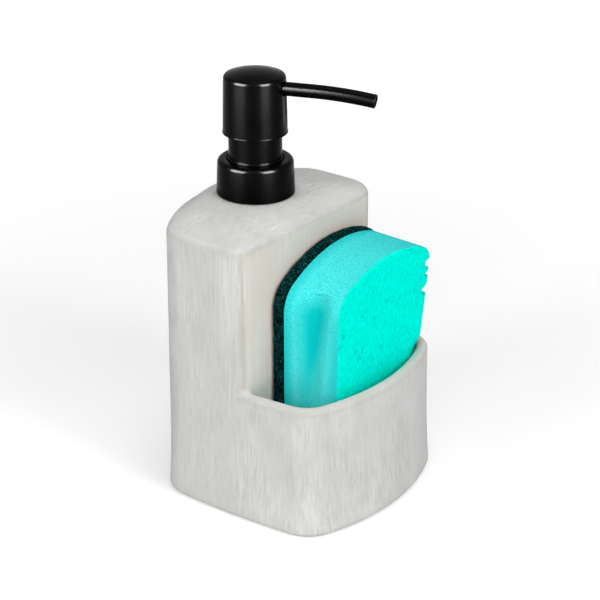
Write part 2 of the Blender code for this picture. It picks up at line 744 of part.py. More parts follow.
def build_closure(materials, collection, axis):
    """The bush in the vessel's neck and what is clamped on it."""
    flange_foot = SEAT_GAP - NECK_LEDGE_DEPTH - SEAT_GAP
    flange_top = flange_foot + BUSH_FLANGE_THICKNESS
    flange_radius = NECK_LEDGE_RADIUS - SEAT_GAP
    tail_radius = NECK_BORE_RADIUS - SEAT_GAP
    tail_foot = flange_foot - BUSH_TAIL
    turned("neck_bush", (
        (BUSH_RADIUS, BUSH_TOP, 0.0),
        (BUSH_RADIUS, flange_top, 0.0),
        (flange_radius, flange_top, 0.0),
        (flange_radius, flange_foot, 0.0),
        (tail_radius, flange_foot, 0.0),
        (tail_radius, tail_foot, 0.0),
        (BUSH_BORE_RADIUS, tail_foot, 0.0),
        (BUSH_BORE_RADIUS, BUSH_TOP, 0.0),
    ), materials["neck_bush"], collection, axis)
    gasket_foot = BUSH_TOP + SEAT_GAP
    gasket_top = gasket_foot + GASKET_THICKNESS
    gasket_bore = CYLINDER_BORE_RADIUS + CYLINDER_WALL + 2.0 * SEAT_GAP
    turned("neck_gasket", (
        (BUSH_RADIUS, gasket_top, 0.0),
        (BUSH_RADIUS, gasket_foot, 0.0),
        (gasket_bore, gasket_foot, 0.0),
        (gasket_bore, gasket_top, 0.0),
    ), materials["neck_gasket"], collection, axis)


def build_housing(materials, collection, axis):
    """The pump's cylinder with its valve chamber and tail, and the guide that closes it."""
    outer = CYLINDER_BORE_RADIUS + CYLINDER_WALL
    chamber_outer = VALVE_CHAMBER_RADIUS + CYLINDER_WALL
    cone_top = VALVE_SEAT + VALVE_CHAMBER_RADIUS - VALVE_HOLE_RADIUS
    tail_bore = DIP_TUBE_RADIUS + SEAT_GAP
    turned("pump_housing", (
        (FLANGE_RADIUS, FLANGE_TOP, 0.0),
        (FLANGE_RADIUS, FLANGE_TOP - FLANGE_THICKNESS, 0.0),
        (outer, FLANGE_TOP - FLANGE_THICKNESS, 0.0),
        (outer, -CYLINDER_DEPTH - CYLINDER_WALL, 0.0),
        (chamber_outer, -CYLINDER_DEPTH - CYLINDER_WALL - outer + chamber_outer, 0.0),
        (chamber_outer, TAIL_FOOT, 0.0),
        (tail_bore, TAIL_FOOT, 0.0),
        (tail_bore, TAIL_TOP, 0.0),
        (VALVE_HOLE_RADIUS, TAIL_TOP, 0.0),
        (VALVE_HOLE_RADIUS, VALVE_SEAT, 0.0),
        (VALVE_CHAMBER_RADIUS, cone_top, 0.0),
        (VALVE_CHAMBER_RADIUS, -CYLINDER_DEPTH, 0.0),
        (CYLINDER_BORE_RADIUS, -CYLINDER_DEPTH, 0.0),
        (CYLINDER_BORE_RADIUS, FLANGE_TOP, 0.0),
    ), materials["pump_housing"], collection, axis)
    guide_flange = FLANGE_TOP + SEAT_GAP
    plug_radius = CYLINDER_BORE_RADIUS - SEAT_GAP
    guide_bore = STEM_RADIUS + SLIDE_GAP
    turned("stem_guide", (
        (GUIDE_FLANGE_RADIUS, guide_flange + GUIDE_FLANGE_THICKNESS, 0.0),
        (GUIDE_FLANGE_RADIUS, guide_flange, 0.0),
        (plug_radius, guide_flange, 0.0),
        (plug_radius, GUIDE_FOOT, 0.0),
        (guide_bore, GUIDE_FOOT, 0.0),
        (guide_bore, guide_flange + GUIDE_FLANGE_THICKNESS, 0.0),
    ), materials["stem_guide"], collection, axis)
    tube_foot = FLOOR + DIP_TUBE_CLEARANCE - COLLAR_FOOT
    turned("dip_tube", (
        (DIP_TUBE_RADIUS, TAIL_TOP - SEAT_GAP, 0.0),
        (DIP_TUBE_RADIUS, tube_foot, 0.0),
        (DIP_TUBE_BORE_RADIUS, tube_foot, 0.0),
        (DIP_TUBE_BORE_RADIUS, TAIL_TOP - SEAT_GAP, 0.0),
    ), materials["dip_tube"], collection, axis, TUBE_SIDES)


def build_spring(materials, collection, cutters, axis):
    """The return spring and the slotted cage it stands on."""
    seat = turned("spring_seat", (
        (0.0, SEAT_TOP, 0.0),
        (CYLINDER_BORE_RADIUS - SEAT_GAP, SEAT_TOP, 0.0),
        (CYLINDER_BORE_RADIUS - SEAT_GAP, SEAT_TOP - SPRING_SEAT_THICKNESS, 0.0),
        (0.0, SEAT_TOP - SPRING_SEAT_THICKNESS, 0.0),
    ), materials["spring_seat"], collection, axis, closed=False)
    slot_reach = VALVE_CHAMBER_RADIUS - SPRING_SEAT_SLOT_RADIUS - SEAT_GAP
    for index in range(SPRING_SEAT_SLOTS):
        turn = 2.0 * math.pi * (index + 0.5) / SPRING_SEAT_SLOTS
        place = (slot_reach * math.cos(turn), slot_reach * math.sin(turn),
                 SEAT_TOP - SPRING_SEAT_THICKNESS * 0.5)
        length = SPRING_SEAT_THICKNESS + 2.0 * CUT_OVERRUN
        cut(seat, add_cutter("slot_cutter_%d" % index, SPRING_SEAT_SLOT_RADIUS, length, TUBE_SIDES,
                             cutters, axis, place))
    low = SEAT_TOP + SEAT_GAP + SPRING_WIRE_RADIUS
    high = STEM_FOOT - SEAT_GAP - SPRING_WIRE_RADIUS
    count = SPRING_TURNS * SPRING_POINTS_PER_TURN
    points = []
    for index in range(count + 1):
        turn = 2.0 * math.pi * index / SPRING_POINTS_PER_TURN
        points.append((SPRING_RADIUS * math.cos(turn), SPRING_RADIUS * math.sin(turn),
                       (high - low) * index / count))
    spring = swept("return_spring", points, SPRING_WIRE_RADIUS, 1, True)
    add_object("return_spring", spring, materials["return_spring"], collection, axis, (0.0, 0.0, low))


def swept(name, points, radius, resolution, caps):
    """A round wire or tube along points, as a mesh."""
    path = bpy.data.curves.new(name, "CURVE")
    path.dimensions = "3D"
    path.bevel_depth = radius
    path.bevel_resolution = resolution
    path.use_fill_caps = caps
    spline = path.splines.new("POLY")
    spline.points.add(len(points) - 1)
    for control, point in zip(spline.points, points):
        control.co = (*point, 1.0)
    holder = bpy.data.objects.new(name + "_path", path)
    bpy.context.scene.collection.objects.link(holder)
    evaluated = holder.evaluated_get(bpy.context.evaluated_depsgraph_get())
    data = bpy.data.meshes.new_from_object(evaluated)
    data.name = name
    bpy.data.objects.remove(holder)
    mesh = bmesh.new()
    mesh.from_mesh(data)
    bmesh.ops.remove_doubles(mesh, verts=mesh.verts, dist=WELD_DISTANCE)
    mesh.to_mesh(data)
    mesh.free()
    return data


def build_piston(materials, collection, axis):
    """The hollow stem and its piston."""
    chamber_foot = STEM_TOP - OUTLET_CHAMBER_DEPTH
    cone_top = chamber_foot + OUTLET_CHAMBER_RADIUS - STEM_BORE_RADIUS
    foot_top = STEM_FOOT + STEM_FOOT_THICKNESS
    turned("pump_stem", (
        (STEM_RADIUS, STEM_TOP, 0.0),
        (STEM_RADIUS, foot_top, 0.0),
        (STEM_FOOT_RADIUS, foot_top, 0.0),
        (STEM_FOOT_RADIUS, STEM_FOOT, 0.0),
        (STEM_BORE_RADIUS, STEM_FOOT, 0.0),
        (STEM_BORE_RADIUS, chamber_foot, 0.0),
        (OUTLET_CHAMBER_RADIUS, cone_top, 0.0),
        (OUTLET_CHAMBER_RADIUS, STEM_TOP, 0.0),
    ), materials["pump_stem"], collection, axis)
    foot = foot_top + SEAT_GAP
    top = foot + PISTON_LENGTH
    lip_radius = CYLINDER_BORE_RADIUS - SLIDE_GAP
    bore = STEM_RADIUS + SEAT_GAP
    turned("piston_seal", (
        (lip_radius, top, 0.0),
        (lip_radius, top - PISTON_LIP_HEIGHT, 0.0),
        (lip_radius - PISTON_WAIST, top - 2.0 * PISTON_LIP_HEIGHT, 0.0),
        (lip_radius - PISTON_WAIST, foot + 2.0 * PISTON_LIP_HEIGHT, 0.0),
        (lip_radius, foot + PISTON_LIP_HEIGHT, 0.0),
        (lip_radius, foot, 0.0),
        (bore, foot, 0.0),
        (bore, top, 0.0),
    ), materials["piston_seal"], collection, axis)


def build_head(materials, collection, cutters, axis):
    """The cap, the core inside it and the spout."""
    inner_top = HEAD_TOP - HEAD_WALL
    inner_shoulder = HEAD_SHOULDER - HEAD_WALL
    inner_radius = HEAD_SHOULDER_RADIUS - HEAD_WALL
    skirt = (
        (HEAD_BOTTOM_RADIUS, HEAD_BOTTOM, 0.0),
        (HEAD_BOTTOM_RADIUS - HEAD_WALL, HEAD_BOTTOM, 0.0),
    )
    profile = dome_profile(HEAD_TOP, HEAD_SHOULDER, HEAD_SHOULDER_RADIUS, HEAD_EDGE_RADIUS, True)
    profile += skirt
    profile += dome_profile(inner_top, inner_shoulder, inner_radius, HEAD_EDGE_RADIUS - HEAD_WALL, False)
    shell = turned("head_shell", profile, materials["head_shell"], collection, axis, SHELL_SIDES,
                   closed=False)
    bore_radius = SPOUT_RADIUS + SEAT_GAP
    hole_length = 2.0 * (HEAD_BOTTOM_RADIUS - inner_radius) + 2.0 * CUT_OVERRUN
    cut(shell, add_cutter("spout_hole_cutter", bore_radius, hole_length, INNER_SIDES, cutters, axis,
                          (HEAD_BOTTOM_RADIUS - HEAD_WALL, 0.0, SPOUT_HEIGHT), True))
    socket_bore = STEM_RADIUS + SEAT_GAP
    socket_radius = socket_bore + CORE_SOCKET_WALL
    channel_top = SPOUT_HEIGHT + CORE_CHANNEL_RADIUS
    core = turned("head_core", (
        (0.0, CORE_TOP, 0.0),
        (CORE_RADIUS, CORE_TOP, CORE_EDGE_RADIUS),
        (CORE_RADIUS, CORE_BOTTOM, 0.0),
        (socket_radius, CORE_BOTTOM, 0.0),
        (socket_radius, CORE_SOCKET_BOTTOM, 0.0),
        (socket_bore, CORE_SOCKET_BOTTOM, 0.0),
        (socket_bore, STEM_TOP + SEAT_GAP, 0.0),
        (CORE_CHANNEL_RADIUS, STEM_TOP + SEAT_GAP, 0.0),
        (CORE_CHANNEL_RADIUS, channel_top, 0.0),
        (0.0, channel_top, 0.0),
    ), materials["head_core"], collection, axis, closed=False)
    bore_end = CORE_RADIUS + CUT_OVERRUN
    cut(core, add_cutter("spout_bore_cutter", bore_radius, bore_end, INNER_SIDES, cutters, axis,
                         (bore_end * 0.5, 0.0, SPOUT_HEIGHT), True))
    bend_radius = (SPOUT_REACH - SPOUT_BEND_START) / math.sin(SPOUT_BEND_TURN)
    points = [(SPOUT_START, 0.0, 0.0)]
    for index in range(SPOUT_BEND_STEPS + 1):
        turn = SPOUT_BEND_TURN * index / SPOUT_BEND_STEPS
        points.append((SPOUT_BEND_START + bend_radius * math.sin(turn), 0.0,
                       bend_radius * (math.cos(turn) - 1.0)))
    spout = add_object("spout_tube", swept("spout_tube", points, SPOUT_RADIUS, 4, False),
                       materials["spout_tube"], collection, axis, (0.0, 0.0, SPOUT_HEIGHT))
    wall = spout.modifiers.new("Wall", "SOLIDIFY")
    wall.thickness = SPOUT_WALL
    wall.offset = -1.0
    wall.use_even_offset = True


# Sponge

FOAM_LAYER_SHARES = (0.14, 0.25, 0.35, 0.43, 0.5, 0.57, 0.65, 0.75, 0.86)
LOW_SIDE_SHARES = (0.0, 0.4, 0.75, 1.0)
HIGH_SIDE_SHARES = (0.0, 0.3, 0.6, 0.85)
FACE_SHARES = (0.82, 0.5, 0.2)


def smooth_share(value, low, high):
    """0 below the low end, 1 above the high end and an even curve between them."""
    share = min(max((value - low) / (high - low), 0.0), 1.0)
    return share * share * (3.0 - 2.0 * share)


def grip_depth(across, height):
    """How deep the groove in the foam's sides is at a place across its thickness."""
    rise = (height - GRIP_FOOT) / (GRIP_TOP - GRIP_FOOT)
    if not 0.0 < rise < 1.0:
        return 0.0
    half_width = GRIP_HALF_WIDTH * (GRIP_FOOT_WIDTH_SHARE + (1.0 - GRIP_FOOT_WIDTH_SHARE) * rise)
    place = (across - GRIP_LEAN * rise) / half_width
    if abs(place) >= 1.0:
        return 0.0
    end = min((GRIP_TOP - height) / GRIP_ROUND, 1.0)
    round_end = math.sqrt(end * (2.0 - end))
    return GRIP_DEPTH * rise * round_end * math.cos(math.pi * place * 0.5) ** 2


def far_taper(height):
    """How much narrower the sponge is on its far side at a height."""
    left = min(max((SPONGE_TAPER_TOP - height) / (SPONGE_TAPER_TOP - LIP_START), 0.0), 1.0)
    return SPONGE_FAR_TAPER * left


def shoulder_arc(reach, corner, peak, arch_centre, arch_radius, side):
    """The centre of a shoulder's arc and the direction in which it meets the arch."""
    middle = side * (reach - corner)
    rise = math.sqrt((arch_radius - corner) ** 2 - (middle - peak) ** 2)
    centre = Vector((middle, arch_centre.y + rise))
    return centre, angle_from(arch_centre, centre)


def sponge_outline(share, across, inset, grip):
    """The sponge's outline in Y and Z, at a share of the way from its back to its front."""
    near = SPONGE_NEAR_REACH - SPONGE_SHEAR * share - inset
    far = SPONGE_FAR_REACH - SPONGE_SHEAR * (1.0 - share) - inset
    foot = FLOOR + SEAT_GAP + inset
    top = FLOOR + SEAT_GAP + SPONGE_HEIGHT - SPONGE_TOP_SLOPE * share - inset
    arch_radius = SPONGE_ARCH_RADIUS - inset
    arch_centre = Vector((SPONGE_PEAK, top - arch_radius))
    near_corner = SPONGE_NEAR_CORNER_RADIUS - inset
    far_corner = SPONGE_FAR_CORNER_RADIUS - inset
    foot_corner = SPONGE_FOOT_RADIUS - inset
    near_centre, near_angle = shoulder_arc(near, near_corner, SPONGE_PEAK, arch_centre, arch_radius, -1.0)
    far_centre, far_angle = shoulder_arc(far, far_corner, SPONGE_PEAK, arch_centre, arch_radius, 1.0)
    lean = math.atan2(SPONGE_FAR_TAPER, SPONGE_TAPER_TOP - LIP_START)
    low_end = foot + foot_corner
    free = RIM_HEIGHT + SPONGE_FREE_RISE
    far_top = far_centre.y - far_corner * math.sin(lean)
    low_side = between(low_end, LIP_START, LOW_SIDE_SHARES)
    near_side = low_side + between(free, near_centre.y, HIGH_SIDE_SHARES)
    far_side = low_side + between(free, far_top, HIGH_SIDE_SHARES)
    outline = [Vector((-near, height)) for height in near_side]
    outline += arc(near_centre, near_corner, math.pi, near_angle, SPONGE_CORNER_STEPS)
    outline += arc(arch_centre, arch_radius, near_angle, far_angle, SPONGE_ARCH_STEPS)[1:]
    outline += arc(far_centre, far_corner, far_angle, -lean, SPONGE_CORNER_STEPS)[1:]
    outline += [Vector((far - far_taper(height), height)) for height in reversed(far_side)]
    far_foot = Vector((far - far_taper(foot) - foot_corner, low_end))
    near_foot = Vector((foot_corner - near, low_end))
    outline += arc(far_foot, foot_corner, 0.0, -math.pi / 2.0, SPONGE_FOOT_STEPS)[1:]
    for step in range(1, SPONGE_BOTTOM_STEPS):
        outline.append(far_foot.lerp(near_foot, step / SPONGE_BOTTOM_STEPS) - Vector((0.0, foot_corner)))
    outline += arc(near_foot, foot_corner, -math.pi / 2.0, -math.pi, SPONGE_FOOT_STEPS)[:-1]
    if grip:
        for point in outline:
            side = -1.0 if point.x < SPONGE_PEAK else 1.0
            if abs(point.x - SPONGE_PEAK) > SPONGE_PEAK + SPONGE_FOOT_RADIUS:
                point.x -= side * grip_depth(across, point.y)
    return outline


def room_in_front(y):
    """How far forward the pocket leaves room at its lip, at a place across the vessel."""
    plan = VesselPlan(LIP_START, WALL)
    return plan.front_centre.x + math.sqrt(plan.front_radius ** 2 - y ** 2) - SPONGE_WALL_GAP


def pressed_in(x, y, z, back):
    """A place through the foam's thickness, moved back where the pocket's front wall is nearer."""
    full = FOAM_THICKNESS + FOAM_CROWN
    share = min((room_in_front(y) - back) / full, 1.0)
    share += (1.0 - share) * smooth_share(z, LIP_START, RIM_HEIGHT + SPONGE_FREE_RISE)
    return back + (x - back) * share


def foam_mesh():
    """The foam block, lofted from the pad's side to its front face."""
    back = STEP_REACH + SPONGE_BACK_GAP + PAD_THICKNESS + SEAT_GAP
    layers = [(0.0, 0.0)]
    layers += [(share, 0.0) for share in FOAM_LAYER_SHARES]
    edge_share = FOAM_EDGE_RADIUS / FOAM_THICKNESS
    for turn in [0.0] + edge_turns(EDGE_STEPS - 1):
        inset = FOAM_EDGE_RADIUS * (1.0 - math.cos(turn))
        layers.append((1.0 - edge_share * (1.0 - math.sin(turn)), inset))
    rings = []
    for share, inset in layers:
        across = (share - 0.5) * FOAM_THICKNESS
        outline = sponge_outline(share, across, inset, True)
        x = back + FOAM_THICKNESS * share
        rings.append([Vector((pressed_in(x, p.x, p.y, back), p.x, p.y)) for p in outline])
    front = rings[-1]
    middle = Vector((0.0, SPONGE_PEAK * 0.8, FLOOR + SPONGE_HEIGHT * 0.5))
    for share in FACE_SHARES:
        ring = []
        for point in front:
            y = middle.y + (point.y - middle.y) * share
            z = middle.z + (point.z - middle.z) * share
            x = back + FOAM_THICKNESS + FOAM_CROWN * (1.0 - share ** 2)
            ring.append(Vector((pressed_in(x, y, z, back), y, z)))
        rings.append(ring)
    mesh = bmesh.new()
    add_rings(mesh, rings, cap_first=True, cap_last=True)
    return finish_skin("sponge_foam", mesh)


def pad_mesh():
    """The scouring pad, with the foam's outline and a small overhang."""
    back = STEP_REACH + SPONGE_BACK_GAP
    layers = [(0.0, PAD_EDGE_RADIUS * 0.4), (PAD_EDGE_RADIUS * 0.4, 0.0),
              (PAD_THICKNESS - PAD_EDGE_RADIUS * 0.4, 0.0), (PAD_THICKNESS, PAD_EDGE_RADIUS * 0.4)]
    rings = []
    for depth, inset in layers:
        outline = sponge_outline(0.0, 0.0, inset - PAD_OVERHANG, False)
        rings.append([Vector((back + depth, point.x, point.y + PAD_OVERHANG)) for point in outline])
    mesh = bmesh.new()
    add_rings(mesh, rings, cap_first=True, cap_last=True)
    return finish_skin("scouring_pad", mesh)


# Assembly

FINISHES = {
    "ceramic_body": ((0.60, 0.59, 0.57), 0.32),
    "neck_bush": ((0.70, 0.70, 0.68), 0.45),
    "neck_gasket": ((0.35, 0.34, 0.33), 0.8),
    "collar_shell": ((0.012, 0.012, 0.012), 0.3),
    "collar_nut": ((0.02, 0.02, 0.02), 0.5),
    "neck_sleeve": ((0.012, 0.012, 0.012), 0.3),
    "pump_housing": ((0.75, 0.75, 0.73), 0.4),
    "stem_guide": ((0.78, 0.78, 0.76), 0.4),
    "dip_tube": ((0.82, 0.83, 0.82), 0.3),
    "spring_seat": ((0.75, 0.75, 0.73), 0.4),
    "inlet_ball": ((0.60, 0.60, 0.62), 0.2, 1.0),
    "return_spring": ((0.55, 0.55, 0.56), 0.25, 1.0),
    "pump_stem": ((0.80, 0.80, 0.78), 0.4),
    "piston_seal": ((0.10, 0.25, 0.55), 0.5),
    "outlet_ball": ((0.60, 0.60, 0.62), 0.2, 1.0),
    "head_shell": ((0.012, 0.012, 0.012), 0.3),
    "head_core": ((0.02, 0.02, 0.02), 0.5),
    "spout_tube": ((0.012, 0.012, 0.012), 0.3),
    "sponge_foam": ((0.0, 0.62, 0.56), 0.85),
    "scouring_pad": ((0.008, 0.02, 0.014), 0.95),
}


def clear_scene():
    """Start from nothing."""
    for item in list(bpy.data.objects):
        bpy.data.objects.remove(item)


def add_collection(name):
    """A new collection in the scene."""
    collection = bpy.data.collections.new(name)
    bpy.context.scene.collection.children.link(collection)
    return collection


def build():
    """The whole dispenser."""
    clear_scene()
    parts = add_collection("soap_dispenser")
    cutters = add_collection("cutters")
    cutters.hide_render = True
    materials = {name: make_material(name, *finish) for name, finish in FINISHES.items()}

    vessel_axis = add_axis("vessel_axis", parts, (PUMP_X, 0.0, 0.0))
    add_object("ceramic_body", vessel_mesh(), materials["ceramic_body"], parts, vessel_axis)

    pump_axis = add_axis("pump_axis", parts, (0.0, 0.0, COLLAR_FOOT), vessel_axis)
    build_closure(materials, parts, pump_axis)
    build_housing(materials, parts, pump_axis)
    build_spring(materials, parts, cutters, pump_axis)
    ball("inlet_ball", BALL_RADIUS, materials["inlet_ball"], parts, pump_axis, INLET_BALL_HEIGHT)

    collar_axis = add_axis("collar_axis", parts, (0.0, 0.0, 0.0), pump_axis)
    build_collar(materials, parts, collar_axis)

    piston_axis = add_axis("piston_axis", parts, (0.0, 0.0, 0.0), pump_axis)
    build_piston(materials, parts, piston_axis)
    ball("outlet_ball", OUTLET_BALL_RADIUS, materials["outlet_ball"], parts, piston_axis,
         OUTLET_BALL_HEIGHT)

    head_axis = add_axis("head_axis", parts, (0.0, 0.0, 0.0), piston_axis, SPOUT_TURN)
    build_head(materials, parts, cutters, head_axis)

    sponge_axis = add_axis("sponge_axis", parts, (0.0, 0.0, 0.0), vessel_axis)
    add_object("sponge_foam", foam_mesh(), materials["sponge_foam"], parts, sponge_axis)
    add_object("scouring_pad", pad_mesh(), materials["scouring_pad"], parts, sponge_axis)


build()
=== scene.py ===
"""Soap dispenser with a sponge pocket: the finished surfaces, its sponge and a plain studio.

Every new piece is a grid of points worked out with numpy from the sizes below, which are the
CAD model's own, in metres, in its frame: +Z up, +X towards the pocket, the floor at Z = 0.
"""

import bmesh
import bpy
import numpy as np
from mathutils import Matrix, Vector


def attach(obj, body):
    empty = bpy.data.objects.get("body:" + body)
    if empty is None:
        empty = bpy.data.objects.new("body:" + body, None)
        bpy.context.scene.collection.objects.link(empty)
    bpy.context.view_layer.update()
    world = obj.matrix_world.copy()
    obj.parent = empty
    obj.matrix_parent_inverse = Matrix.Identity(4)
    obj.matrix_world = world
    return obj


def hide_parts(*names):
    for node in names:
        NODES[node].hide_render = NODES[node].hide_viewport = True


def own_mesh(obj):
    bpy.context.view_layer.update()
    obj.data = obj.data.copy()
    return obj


bl_info = {
    "name": "Soap Dispenser Finish",
    "version": (1, 0, 0),
    "blender": (4, 5, 0),
    "location": "View3D > Sidebar > Dispenser",
    "description": "Builds the glazed vessel, the black pump, the sponge and a plain studio",
    "category": "Add Mesh",
}

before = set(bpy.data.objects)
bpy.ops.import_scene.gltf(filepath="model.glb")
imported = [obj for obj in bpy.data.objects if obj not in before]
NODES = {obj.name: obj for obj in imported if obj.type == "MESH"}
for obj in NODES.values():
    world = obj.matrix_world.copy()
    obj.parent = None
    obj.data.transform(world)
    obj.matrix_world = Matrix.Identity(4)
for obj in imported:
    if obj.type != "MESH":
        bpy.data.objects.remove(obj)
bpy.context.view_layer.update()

MM = 0.001
TAU = 2.0 * np.pi

# Vessel, as in the CAD model
VESSEL_HEIGHT = 121.3 * MM
RIM_HEIGHT = 56.6 * MM
FLOOR = 8.0 * MM
FRONT_REACH = 71.2 * MM
BACK_REACH = 27.9 * MM
HALF_WIDTH = 47.9 * MM
FRONT_DRAFT = 2.4 * MM
BACK_DRAFT = 1.4 * MM
SIDE_DRAFT = 0.6 * MM
BASE_FLARE = 1.0 * MM
BASE_FLARE_HEIGHT = 30.0 * MM
FRONT_ARC_RADIUS = 92.0 * MM
BACK_ARC_RADIUS = 70.0 * MM
SIDE_ARC_RADIUS = 360.0 * MM
SIDE_ARC_CENTRE = 6.0 * MM
FRONT_CORNER_RADIUS = 15.0 * MM
BACK_CORNER_RADIUS = 15.0 * MM
STEP_REACH = 30.3 * MM
FAR_STEP_CORNER_RADIUS = 15.0 * MM
NEAR_STEP_CORNER_RADIUS = 5.0 * MM
WALL = 4.6 * MM
BASE_EDGE_RADIUS = 2.4 * MM
TOP_EDGE_RADIUS = 3.0 * MM
TOP_EDGE_TURN = np.radians(75.0)
CROWN_RISE = 4.0 * MM
POCKET_EDGE_RADIUS = 1.6 * MM
POCKET_CORNER_RADIUS = 2.5 * MM
POCKET_DRAFT = 1.0 * MM
RESERVOIR_EDGE_RADIUS = 6.0 * MM
NECK_LAND_RADIUS = 17.0 * MM
NECK_BORE_RADIUS = 12.8 * MM
NECK_LEDGE_RADIUS = 14.2 * MM
NECK_LEDGE_DEPTH = 2.0 * MM
NECK_DEPTH = 7.0 * MM
SIDE_AT_STEP = 45.7 * MM
LIP_START = RIM_HEIGHT - WALL * 0.5
WALL_TOP = VESSEL_HEIGHT - CROWN_RISE - TOP_EDGE_RADIUS
SEAT_GAP = 0.3 * MM

# Pump, as in the CAD model
PUMP_X = (BACK_REACH - FRONT_REACH) * 0.5
COLLAR_FOOT = VESSEL_HEIGHT + SEAT_GAP
SPRING_FOOT = 91.4 * MM
SPRING_LENGTH = 22.5 * MM
SPRING_RADIUS = 4.0 * MM
SPRING_WIRE_RADIUS = 0.45 * MM
SPRING_TURNS = 7
SPRING_END_CLOSING = 0.6
SPOUT_TURN = np.radians(21.0)
SPOUT_HEIGHT = 44.15 * MM
SPOUT_REACH = 49.4 * MM
SPOUT_RADIUS = 2.8 * MM
SPOUT_WALL = 0.6 * MM
SPOUT_BEND_START = 24.0 * MM
SPOUT_BEND_TURN = np.radians(8.4)
SPOUT_START = 3.2 * MM
SPOUT_HOLE_GAP = 0.15 * MM

# Sponge, as in the CAD model
SPONGE_BACK = STEP_REACH + 0.7 * MM
SPONGE_HEIGHT = 98.8 * MM
SPONGE_MIDDLE = FLOOR + SPONGE_HEIGHT * 0.5
SPONGE_TOP_SLOPE = 1.3 * MM
SPONGE_NEAR_REACH = 28.4 * MM
SPONGE_FAR_REACH = 39.4 * MM
SPONGE_SHEAR = 4.5 * MM
SPONGE_FAR_TAPER = 6.4 * MM
SPONGE_TAPER_TOP = 95.0 * MM
SPONGE_PEAK = 10.0 * MM
SPONGE_ARCH_RADIUS = 62.0 * MM
SPONGE_NEAR_CORNER_RADIUS = 13.0 * MM
SPONGE_FAR_CORNER_RADIUS = 8.0 * MM
SPONGE_FOOT_RADIUS = 4.0 * MM
SPONGE_WALL_GAP = 0.6 * MM
SPONGE_FREE_RISE = 6.0 * MM
SPONGE_EDGE_RADIUS = 0.9 * MM
PAD_THICKNESS = 5.0 * MM
PAD_OVERHANG = 0.4 * MM
PAD_PEAK = 3.0 * MM
FOAM_THICKNESS = 23.6 * MM
FOAM_CROWN = 0.4 * MM
GRIP_HALF_WIDTH = 8.0 * MM
GRIP_TOP = 97.0 * MM
GRIP_FOOT = 42.0 * MM
GRIP_ROUND = 11.0 * MM
GRIP_LEAN = 1.6 * MM
GRIP_FOOT_WIDTH_SHARE = 0.45

# Wear and shading
TORN_BITE = 3.2 * MM
TORN_DEPTH = 7.0 * MM
TORN_SIDE = 33.0 * MM
TORN_HEIGHTS = (74.0 * MM, 98.0 * MM)
FOAM_SHADE_HEIGHTS = (68.0 * MM, 98.0 * MM)
FIBRE_BEND = (0.006, 0.006, 0.006)
POCKET_CREAM = 0.4
STROKE_STRETCH = 0.045
SEED = 7


# Grids and meshes

def arcs(centre, radius, start, end, steps):
    """One arc for each ring: its centre plus its radius times cosine and sine of even angles."""
    angle = start[:, None] + (end - start)[:, None] * np.linspace(0.0, 1.0, steps + 1)
    return centre[:, None, :] + radius[:, None, None] * np.stack((np.cos(angle), np.sin(angle)), -1)


def lines(first, last, steps):
    """A straight run for each ring: the first point moved evenly to the last."""
    share = np.linspace(0.0, 1.0, steps + 1)[None, :, None]
    return first[:, None, :] + (last - first)[:, None, :] * share


def around(sides):
    """The cosines and sines of even angles round a circle."""
    angle = np.arange(sides) * TAU / sides
    return np.cos(angle), np.sin(angle)


def unit(vectors):
    """Vectors divided by their lengths."""
    return vectors / np.linalg.norm(vectors, axis=-1, keepdims=True)


def bearing(centre, point):
    """The direction of each point from its centre: the arc tangent of Y over X."""
    offset = point - centre
    return np.arctan2(offset[:, 1], offset[:, 0])


def smooth_share(value, low, high):
    """0 below the low end, 1 above the high end, and 3 t squared less 2 t cubed between them."""
    share = np.clip((value - low) / (high - low), 0.0, 1.0)
    return share * share * (3.0 - 2.0 * share)


def hump(value, middle, width):
    """1 at the middle, less on both sides: e to the minus square of the distance in widths."""
    return np.exp(-((value - middle) / width) ** 2)


def spread(low, high, count):
    """Even numbers from low to high, the first left out."""
    return np.linspace(low, high, count + 1)[1:]


def ripple(points, scale, seed, octaves=3):
    """A smooth random field: sines along random directions, in octaves each half as strong."""
    rng = np.random.default_rng(seed)
    total = np.zeros(points.shape[:-1])
    for octave in range(octaves):
        for _ in range(5):
            direction = rng.normal(size=3)
            direction /= np.linalg.norm(direction)
            frequency = TAU / scale * 2.0 ** octave * rng.uniform(0.7, 1.3)
            total += np.sin(points @ direction * frequency + rng.uniform(0.0, TAU)) * 0.5 ** octave
    return total / 5.0


def add_mesh(name, patches, caps=(), values=None, weld=0.004 * MM):
    """One mesh from grids of points. Each patch is (points, closed); neighbours share their edges.

    A quad joins point i, j to its neighbours i, j+1 and i+1, j. A cap closes a ring with one face.
    """
    points, faces, start = [], [], 0
    stored = {key: [] for key in values or {}}
    for index, (grid, closed) in enumerate(patches):
        rows, columns = grid.shape[:2]
        number = start + np.arange(rows * columns).reshape(rows, columns)
        after = np.roll(number, -1, axis=1)
        if not closed:
            number, after = number[:, :-1], after[:, :-1]
        quads = np.stack((number[:-1], after[:-1], after[1:], number[1:]), -1).reshape(-1, 4)
        faces += quads.tolist()
        points.append(grid.reshape(-1, 3))
        for key in stored:
            stored[key].append(np.broadcast_to(values[key][index], grid.shape[:2]).reshape(-1))
        for patch, row in caps:
            if patch == index:
                faces.append((start + columns * (row % rows) + np.arange(columns)).tolist())
        start += rows * columns
    data = bpy.data.meshes.new(name)
    data.from_pydata(np.concatenate(points).tolist(), [], faces)
    for key, parts in stored.items():
        attribute = data.attributes.new(key, "FLOAT", "POINT")
        attribute.data.foreach_set("value", np.concatenate(parts).astype(np.float32))
    mesh = bmesh.new()
    mesh.from_mesh(data)
    bmesh.ops.remove_doubles(mesh, verts=mesh.verts, dist=weld)
    bmesh.ops.recalc_face_normals(mesh, faces=mesh.faces)
    mesh.to_mesh(data)
    mesh.free()
    return data


